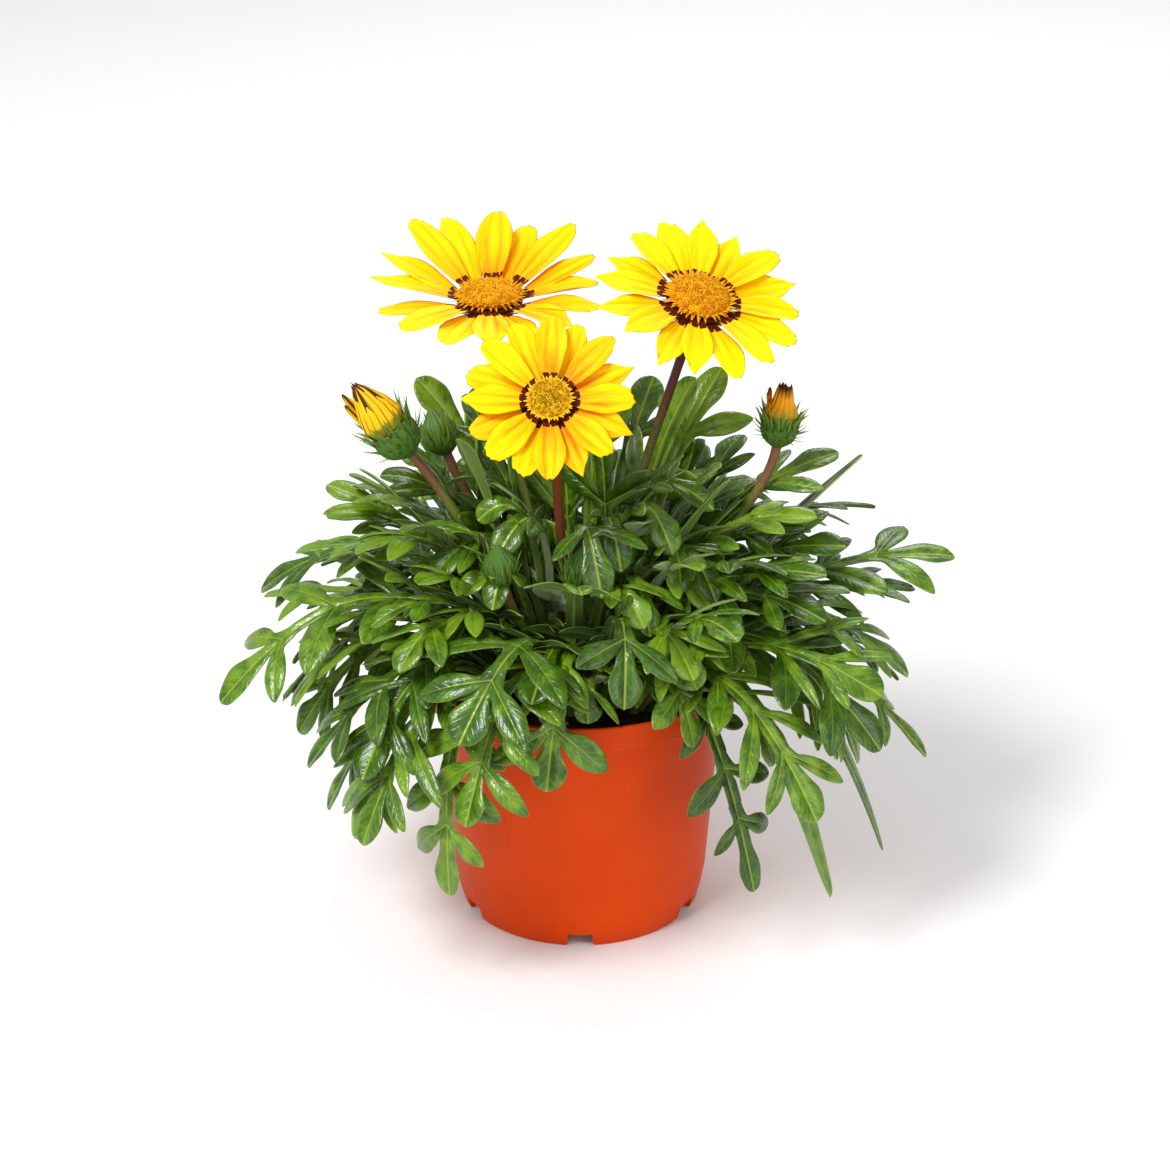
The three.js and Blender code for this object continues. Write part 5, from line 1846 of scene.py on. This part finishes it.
    def patch(self, seed: int, nudge: int = 0, fineness: Fineness = FINE) -> Patch:
        """The whole blade and stalk as one closed skin.

        Args:
            seed: the leaf's number.
            nudge: which small change of direction it took.
            fineness: how fine its net is.

        Returns:
            At v from vein (0) to outline (1) a row's middle is the straight line between them,
            raised by an arch, sunk in a groove over the vein and turned down at the rim. The
            upper and lower skins stand half a thickness off it and meet at the outline, and the
            lower one bulges by the keel along the vein.
        """
        rib = self.midrib(seed, nudge)
        v = np.array(fineness.across)[None, :, None]
        patches = []
        pale = draw(seed, 90) < self.PALE_SHARE
        felt = self.PALE_FELT if pale else self.THIN_FELT * draw(seed, 91)
        for half in (1, -1):
            row = self.rows(rib, seed, half, fineness)
            spine, edge = row.spine[:, None], row.edge[:, None]
            up = unit(lerp(row.spine_up[:, None], row.edge_up[:, None], v))
            width = np.linalg.norm(edge - spine, axis=-1, keepdims=True)
            away = v * width
            stalk = row.stalk[:, None, None]
            fade = np.minimum(1, width / 2)
            arch = 0.07 * width * np.sin(math.pi * v) * (1 - stalk)
            groove = self.GROOVE * np.exp(-((away / self.GROOVE_WIDTH) ** 2)) * (1 - stalk)
            ripple = self.RIPPLE * np.sin(away * 0.9 + 11 * draw(seed, 70)) * v**2 * (1 - stalk)
            rim = 0.05 * width * v**6
            middle = lerp(spine, edge, v) + up * (arch - groove - rim + ripple * fade) * fade
            round_edge = fullness(v, 8)
            skin = self.SKIN * round_edge * np.minimum(1, width / 0.8)
            belly = self.BELLY * stalk * fullness(v, 2)
            keel = row.keel[:, None, None] * np.exp(-(away**2)) * round_edge
            keel = keel * np.minimum(1, width / 0.8)
            top = middle + up * (skin + belly)
            low = middle - up * (skin + keel)
            marks = {
                "line": (away / row.line[:, None, None])[..., 0],
                "rim": np.broadcast_to(v, away.shape)[..., 0],
                "rib": row.strength[:, None],
                "along": row.along[:, None] + 0.5 * half,
                "away": away[..., 0],
                "felt": felt,
            }
            tone = 0.5 * draw(seed, 80) + 0.08 * draw(seed, 80 + half)
            for skin_points, under in ((top, 0.0), (low, 1.0)):
                flip = (half > 0) == (under > 0)
                patches.append(net(skin_points, flip=flip, under=under, tone=tone, **marks))
            cap = np.stack([low[0], top[0]])
            patches.append(net(cap, flip=half < 0, tone=tone))
        return joined(patches).turned_out()


LEAVES = (
    Leaf(-112, Ring.MIDDLE, (54, 127), (92, 103), 3, 33),
    Leaf(-97, Ring.MIDDLE, (50, 120), (78, 84), 2, 28),
    Leaf(-107, Ring.LOW, (62, 110), (95, 70), 3, 29),
    Leaf(-124, Ring.LOW, (66, 104), (93, 47), 3, 25),
    Leaf(-150, Ring.LOW, (64, 112), (110, 80), 3, 31),
    Leaf(-144, Ring.LOW, (62, 106), (96, 48), 2, 24),
    Leaf(-169, Ring.MIDDLE, (72, 126), (131, 90), 3, 32),
    Leaf(176, Ring.MIDDLE, (48, 130), (95, 128), 2, 29),
    Leaf(161, Ring.MIDDLE, (70, 126), (127, 104), 2, 30),
    Leaf(174, Ring.UPPER, (40, 136), (82, 157), 2, 23),
    Leaf(-31, Ring.MIDDLE, (66, 121), (118, 86), 3, 32),
    Leaf(6, Ring.MIDDLE, (78, 122), (139, 127), 3, 31),
    Leaf(-7, Ring.MIDDLE, (62, 120), (113, 106), 3, 30),
    Leaf(14, Ring.MIDDLE, (55, 134), (114, 142), 3, 25),
    Leaf(-34, Ring.LOW, (66, 106), (106, 28), 0, 15),
    Leaf(-52, Ring.LOW, (64, 106), (90, 36), 3, 21),
    Leaf(-13, Ring.LOW, (72, 112), (128, 70), 2, 25),
    Leaf(-20, Ring.LOW, (70, 106), (119, 42), 0, 13),
    Leaf(-34, Ring.UPPER, (44, 136), (85, 150), 2, 28),
    Leaf(-78, Ring.UPPER, (42, 140), (76, 126), 2, 28),
    Leaf(28, Ring.UPPER, (28, 148), (47, 196), 1, 30),
    Leaf(45, Ring.UPPER, (34, 146), (68, 192), 2, 28),
    Leaf(4, Ring.UPPER, (52, 134), (87, 186), 0, 14),
    Leaf(19, Ring.MIDDLE, (52, 130), (101, 154), 2, 23),
    Leaf(152, Ring.UPPER, (34, 142), (68, 191), 2, 28),
    Leaf(-166, Ring.UPPER, (26, 136), (44, 186), 1, 28),
    Leaf(-73, Ring.MIDDLE, (50, 120), (76, 102), 2, 25),
    Leaf(-42, Ring.UPPER, (34, 142), (62, 184), 0, 14),
    Leaf(62, Ring.UPPER, (24, 146), (36, 192), 1, 24),
    Leaf(52, Ring.LOW, (68, 118), (122, 108), 3, 32),
    Leaf(36, Ring.LOW, (66, 108), (108, 62), 2, 28),
    Leaf(74, Ring.LOW, (66, 108), (104, 60), 2, 28),
    Leaf(88, Ring.MIDDLE, (64, 124), (118, 112), 2, 32),
    Leaf(122, Ring.MIDDLE, (64, 124), (116, 118), 2, 31),
    Leaf(140, Ring.LOW, (66, 108), (106, 70), 2, 28),
    Leaf(66, Ring.UPPER, (36, 140), (74, 180), 2, 28),
    Leaf(96, Ring.UPPER, (34, 140), (66, 184), 2, 28),
    Leaf(126, Ring.UPPER, (40, 138), (82, 166), 2, 28),
    Leaf(-104, Ring.UPPER, (30, 140), (54, 162), 2, 24),
    Leaf(-58, Ring.UPPER, (32, 138), (58, 160), 2, 24),
    Leaf(-138, Ring.UPPER, (36, 138), (68, 146), 2, 24),
)


# ---------------------------------------------------------------- the plant and the studio


@dataclass
class Finishes:
    """The materials that several pieces share."""

    leaf: bpy.types.Material
    petal: bpy.types.Material
    bud_stem: bpy.types.Material


@dataclass
class Room:
    """A grid of small cells that tells which air is already taken."""

    low: Array
    high: Array
    cell: float = 3.0
    rim: tuple[float, float, float] = (49.5, 62.0, 98.5)
    crown: tuple[float, float] = (34.0, 104.0)
    aisle: tuple[float, float, float, float] = (-18.0, 3.0, -6.0, 124.0)

    def __post_init__(self) -> None:
        """Makes the empty grid."""
        size = np.ceil((self.high - self.low) / self.cell).astype(int) + 2
        self.taken = np.zeros(size)

    def cells(self, points: Array) -> tuple[Array, ...]:
        """Which cell each point lies in."""
        place = np.floor((points - self.low) / self.cell).astype(int) + 1
        return tuple(np.clip(place, 1, np.array(self.taken.shape) - 2).T)

    def take(self, points: Array) -> None:
        """Marks the cells that the points lie in with 1, and the cells round them with 0.3."""
        i, j, k = self.cells(points)
        for a, b, c in np.ndindex(3, 3, 3):
            beside = (i + a - 1, j + b - 1, k + c - 1)
            self.taken[beside] = np.maximum(self.taken[beside], 0.3)
        self.taken[i, j, k] = 1.0

    def take_piece(self, piece: bpy.types.Object, origin: Array) -> None:
        """Marks the cells that a finished piece lies in."""
        points = np.empty(3 * len(piece.data.vertices), np.float32)
        piece.data.vertices.foreach_get("co", points)
        self.take(points.reshape(-1, 3) / MM - origin)

    def crowding(self, points: Array) -> float:
        """How much of a leaf lies in taken cells, in the pot's wall or outside the plant's box.

        Args:
            points: the leaf's points.

        Returns:
            The mean over its points, where a place in the pot's wall counts 5 times, one outside
            the box 50 times and one in the aisle before the front flower's stem twice. The
            crown, in which all stalks meet, doesn't count.
        """
        x, y, z = points.T
        inner, outer, top = self.rim
        reach = np.hypot(x, y)
        cost = self.taken[self.cells(points)]
        cost = cost + 5.0 * ((reach > inner) & (reach < outer) & (z < top))
        cost = np.where((reach < self.crown[0]) & (z < self.crown[1]), 0, cost)
        left, right, near, floor = self.aisle
        cost = cost + 2.0 * ((x > left) & (x < right) & (y < near) & (z > floor))
        outside = (points < self.low + 1) | (points > self.high - 1)
        return float(np.mean(cost + 50.0 * outside.any(axis=1)))


@dataclass(frozen=True)
class Habit:
    """A group of leaves that are alike, each size given as its least and its most, and the
    azimuth as the middle of the group and how far it reaches to both sides."""

    count: int
    ring: Ring
    azimuth: tuple[float, float]
    knee_reach: tuple[float, float]
    knee_height: tuple[float, float]
    tip_reach: tuple[float, float]
    tip_height: tuple[float, float]
    pairs: tuple[int, int]
    lobe: tuple[float, float]

    FRONT_KNEE, FRONT_TIP = 4.0, 16.0

    def candidate(self, seed: int, index: int, trial: int) -> Leaf:
        """One leaf of the group.

        Args:
            seed: the leaf's number.
            index: its place in the group. Each next one stands a golden share further round.
            trial: which of its possible shapes this is.

        Returns:
            The leaf. At the front of the plant its knee and tip are lower.
        """

        def between(count: int, limits: tuple[float, float]) -> float:
            return float(lerp(limits[0], limits[1], draw(seed, 20 * trial + count)))

        middle, reach = self.azimuth
        share = (index + 0.5) * GOLDEN_ANGLE / 360 % 1
        azimuth = middle + reach * (2 * share - 1) + jitter(seed, 20 * trial + 1, 18)
        azimuth = (azimuth + 180) % 360 - 180
        front = max(0.0, -math.sin(math.radians(azimuth)))
        knee_height = between(3, self.knee_height) - self.FRONT_KNEE * front
        tip_height = between(5, self.tip_height) - self.FRONT_TIP * front
        pairs = round(between(6, self.pairs))
        return Leaf(
            azimuth=float(azimuth),
            ring=self.ring,
            knee=(between(2, self.knee_reach), knee_height),
            tip=(between(4, self.tip_reach), tip_height),
            pairs=pairs,
            lobe=between(7, self.lobe) * (1 if pairs else 0.52),
            slim=between(8, (0.72, 0.92)),
            splay=between(9, (42, 54)),
        )


HABITS = (
    Habit(14, Ring.UPPER, (90, 125), (22, 38), (132, 148), (34, 66), (158, 188), (1, 3), (23, 30)),
    Habit(
        17, Ring.MIDDLE, (90, 148), (42, 58), (118, 136), (66, 104), (110, 152), (2, 3), (25, 32)
    ),
    Habit(8, Ring.MIDDLE, (180, 34), (38, 50), (130, 144), (64, 88), (142, 176), (2, 3), (24, 30)),
    Habit(7, Ring.MIDDLE, (0, 32), (38, 50), (130, 144), (68, 96), (140, 172), (2, 3), (24, 30)),
    Habit(8, Ring.LOW, (-160, 26), (60, 70), (106, 118), (92, 112), (70, 102), (3, 3), (28, 33)),
    Habit(4, Ring.LOW, (165, 20), (62, 70), (108, 122), (95, 120), (70, 112), (3, 3), (28, 34)),
    Habit(6, Ring.LOW, (0, 22), (62, 70), (114, 128), (102, 124), (96, 126), (3, 3), (28, 33)),
    Habit(5, Ring.LOW, (-36, 20), (62, 70), (108, 120), (92, 114), (80, 106), (3, 3), (28, 33)),
    Habit(8, Ring.LOW, (90, 60), (62, 70), (108, 120), (84, 106), (54, 100), (2, 3), (24, 31)),
    Habit(8, Ring.UPPER, (90, 100), (20, 34), (110, 126), (38, 60), (120, 150), (1, 3), (18, 25)),
    Habit(9, Ring.UPPER, (-90, 78), (36, 46), (122, 132), (60, 76), (122, 136), (3, 3), (24, 30)),
    Habit(8, Ring.UPPER, (-90, 78), (28, 36), (138, 148), (48, 62), (138, 152), (2, 3), (23, 29)),
    Habit(7, Ring.UPPER, (-90, 85), (20, 28), (152, 162), (38, 50), (156, 168), (2, 3), (22, 27)),
    Habit(4, Ring.MIDDLE, (-78, 30), (38, 44), (113, 118), (56, 64), (114, 121), (3, 3), (20, 25)),
)


@dataclass
class Plant:
    """The whole plant: flowers, buds and leaves."""

    trials: int = 16
    inner_seed: int = 100
    flowers: tuple[Flower, ...] = (
        Flower(
            "left", (-32, 32, 221.5), -95, 84, (-6, 5), 3,
            radius=41.5, disc=11.4, lift=17, sway=13, droop=3,
            skin=StemFinish(foot="#6f8034", flush="#481610", flush_from=0.72),
        ),
        Flower(
            "right", (41, 4, 230.5), -62, 66, (3, 1), 5,
            radius=37, disc=11, lift=8, sway=7, droop=4, gold=-0.45,
            skin=StemFinish(foot="#66742c", flush="#4c1a12", flush_from=0.62),
        ),
        Flower(
            "front", (-10, -36, 208.5), -92, 45, (-4, -5), 8,
            radius=30, disc=7.4, lift=9, sway=3, droop=4, gold=0.45, fringes=3,
            skin=StemFinish(foot="#7a5f2c", flush="#864624", flush_from=0.35),
            pollen=FloretFinish(gap="#7c5208", throat="#d88e0a", tip="#f8d824"),
        ),
    )
    buds: tuple[Bud, ...] = (
        Bud(
            "left", (-66, -10, 189), 180, 53, (-17, 1), 2,
            cup_radius=8.6, rays=21, bracts=7, spread=34, blades=17, loose=2,
        ),
        Bud(
            "right", (70.5, 0, 188), 10, 84, (12, -3), 4,
            cup_radius=6.8, rays=14, bracts=8, spread=42, taper=(0.72, 0.54, 0.42), blades=13,
            loose=3,
            petal=BudFinish(
                yellow="#eea214", stripe="#8a3a0c", end="#4a170a", foot="#839426",
                foot_share=0.62, end_share=0.66, stripe_width=0.3,
            ),
        ),
        Bud("rear", (-51, 22, 176), 160, 70, (-4, 11), 6, cup_radius=6.6, spread=22),
        Bud("centre_left", (-27.5, -38, 150), -110, 74, (-9, -8), 7, cup_radius=6.2),
        Bud("centre_right", (0, -38, 148), -80, 80, (2, -9), 9, cup_radius=6.2),
    )

    def build(self, origin: Array, room: Room) -> None:
        """Makes every flower, bud and leaf.

        Args:
            origin: the pot's axis in the row frame, in mm.
            room: the plant's box, from the pot's axis. The leaves that aren't in the solids
                find their places in it, between the pieces that are.
        """
        finishes = Finishes(
            leaf=LeafFinish().build(),
            petal=PetalFinish().build(),
            bud_stem=StemFinish(
                foot="#748a32", flush="#80543a", tips="#788f30", flush_from=0.85
            ).build("Gazania bud stem and bracts, green"),
        )
        for head in (*self.flowers, *self.buds):
            for piece in head.build(origin, finishes):
                room.take_piece(piece, origin)
        for index, leaf in enumerate(LEAVES):
            seed = index + 1
            node = f"leaf_{seed:02d}"
            low, high = (np.array(corner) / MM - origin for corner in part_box(node))
            patch = leaf.patch(seed, leaf.settled(seed, low, high))
            room.take(patch.points)
            Piece(f"{node}_blade", "leaf", finishes.leaf, [patch]).build(origin, node)
        places = [(habit, index) for habit in HABITS for index in range(habit.count)]
        for number, (habit, index) in enumerate(places, 1):
            seed = self.inner_seed + number
            choices = [habit.candidate(seed, index, trial) for trial in range(self.trials)]
            patches = [leaf.patch(seed, fineness=PLAIN) for leaf in choices]
            costs = [room.crowding(patch.points) for patch in patches]
            best = patches[int(np.argmin(costs))]
            room.take(best.points)
            log.info("inner leaf %d: crowding %.2f", number, min(costs))
            name = f"inner_leaf_{number:03d}_blade"
            Piece(name, "leaf", finishes.leaf, [best]).build(origin)


@dataclass
class Studio:
    """A pale floor, soft light and the camera."""

    camera_place: tuple[float, float, float] = (0.0, -0.8783, 0.5261)
    camera_tilt: float = 65.43
    camera_turn: float = -0.12
    lens: float = 82.37
    floor_size: float = 6.0
    room_light: float = 0.42
    aim_height: float = 0.12

    # Each light's name, place from the pot's foot and side in metres, and power in watts.
    LIGHTS = (
        ("key", (-1.2, -1.1, 2.1), 0.9, 57.0),
        ("fill", (1.5, -1.2, 1.2), 1.2, 11.0),
        ("front", (-0.1, -2.2, 0.9), 1.0, 6.0),
        ("back", (0.4, 1.5, 1.5), 0.9, 13.0),
    )

    def build(self, origin: Array) -> None:
        """Makes the floor, the lights, the world and the camera."""
        scene = bpy.context.scene
        scene.view_settings.view_transform = "Standard"
        self.floor()
        axis = Vector(origin * MM)
        camera = bpy.data.objects.new("camera", bpy.data.cameras.new("camera"))
        camera.location = axis + Vector(self.camera_place)
        camera.rotation_euler = Euler(
            (math.radians(self.camera_tilt), 0, math.radians(self.camera_turn))
        )
        camera.data.lens = self.lens
        scene.collection.objects.link(camera)
        scene.camera = camera
        world = bpy.data.worlds.new("soft white room")
        world.use_nodes = True
        ground = world.node_tree.nodes["Background"]
        ground.inputs["Color"].default_value = (1.0, 1.0, 1.0, 1.0)
        ground.inputs["Strength"].default_value = self.room_light
        scene.world = world
        for name, place, size, power in self.LIGHTS:
            self.softbox(name, axis + Vector(place), axis, size, power)

    def floor(self) -> None:
        """A matt white floor."""
        half = self.floor_size / 2
        mesh = bpy.data.meshes.new("floor")
        corners = [(-half, -half, 0), (half, -half, 0), (half, half, 0), (-half, half, 0)]
        mesh.from_pydata(corners, [], [(0, 1, 2, 3)])
        material, _ = new_material("matt white floor")
        finished(material, {"Base Color": linear("#f4f4f4"), "Roughness": 0.9})
        mesh.materials.append(material)
        floor = bpy.data.objects.new("floor", mesh)
        bpy.context.scene.collection.objects.link(floor)
        floor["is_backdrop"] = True

    def softbox(self, name: str, place: Vector, aim: Vector, size: float, power: float) -> None:
        """A square light that looks at the plant.

        Args:
            name: its name.
            place: where it stands, in metres.
            aim: the pot's axis on the floor.
            size: its side in metres.
            power: its power in watts.
        """
        light = bpy.data.lights.new(name, "AREA")
        light.size, light.energy = size, power
        lamp = bpy.data.objects.new(name, light)
        lamp.location = place
        away = place - aim - Vector((0, 0, self.aim_height))
        lamp.rotation_euler = away.to_track_quat("Z", "Y").to_euler()
        bpy.context.scene.collection.objects.link(lamp)


def main() -> None:
    """Builds the studio, the pot, the soil and the plant."""
    logging.basicConfig(level=logging.INFO)
    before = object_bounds()
    low, high = (np.array(corner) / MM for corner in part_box("pot"))
    origin = np.array([(low[0] + high[0]) / 2, (low[1] + high[1]) / 2, 0.0])
    Studio().build(origin)
    Pot().build(origin)
    Soil().build(origin)
    Plant().build(origin, Room(*(np.array(corner) / MM - origin for corner in before)))


if __name__ == "__main__":
    main()
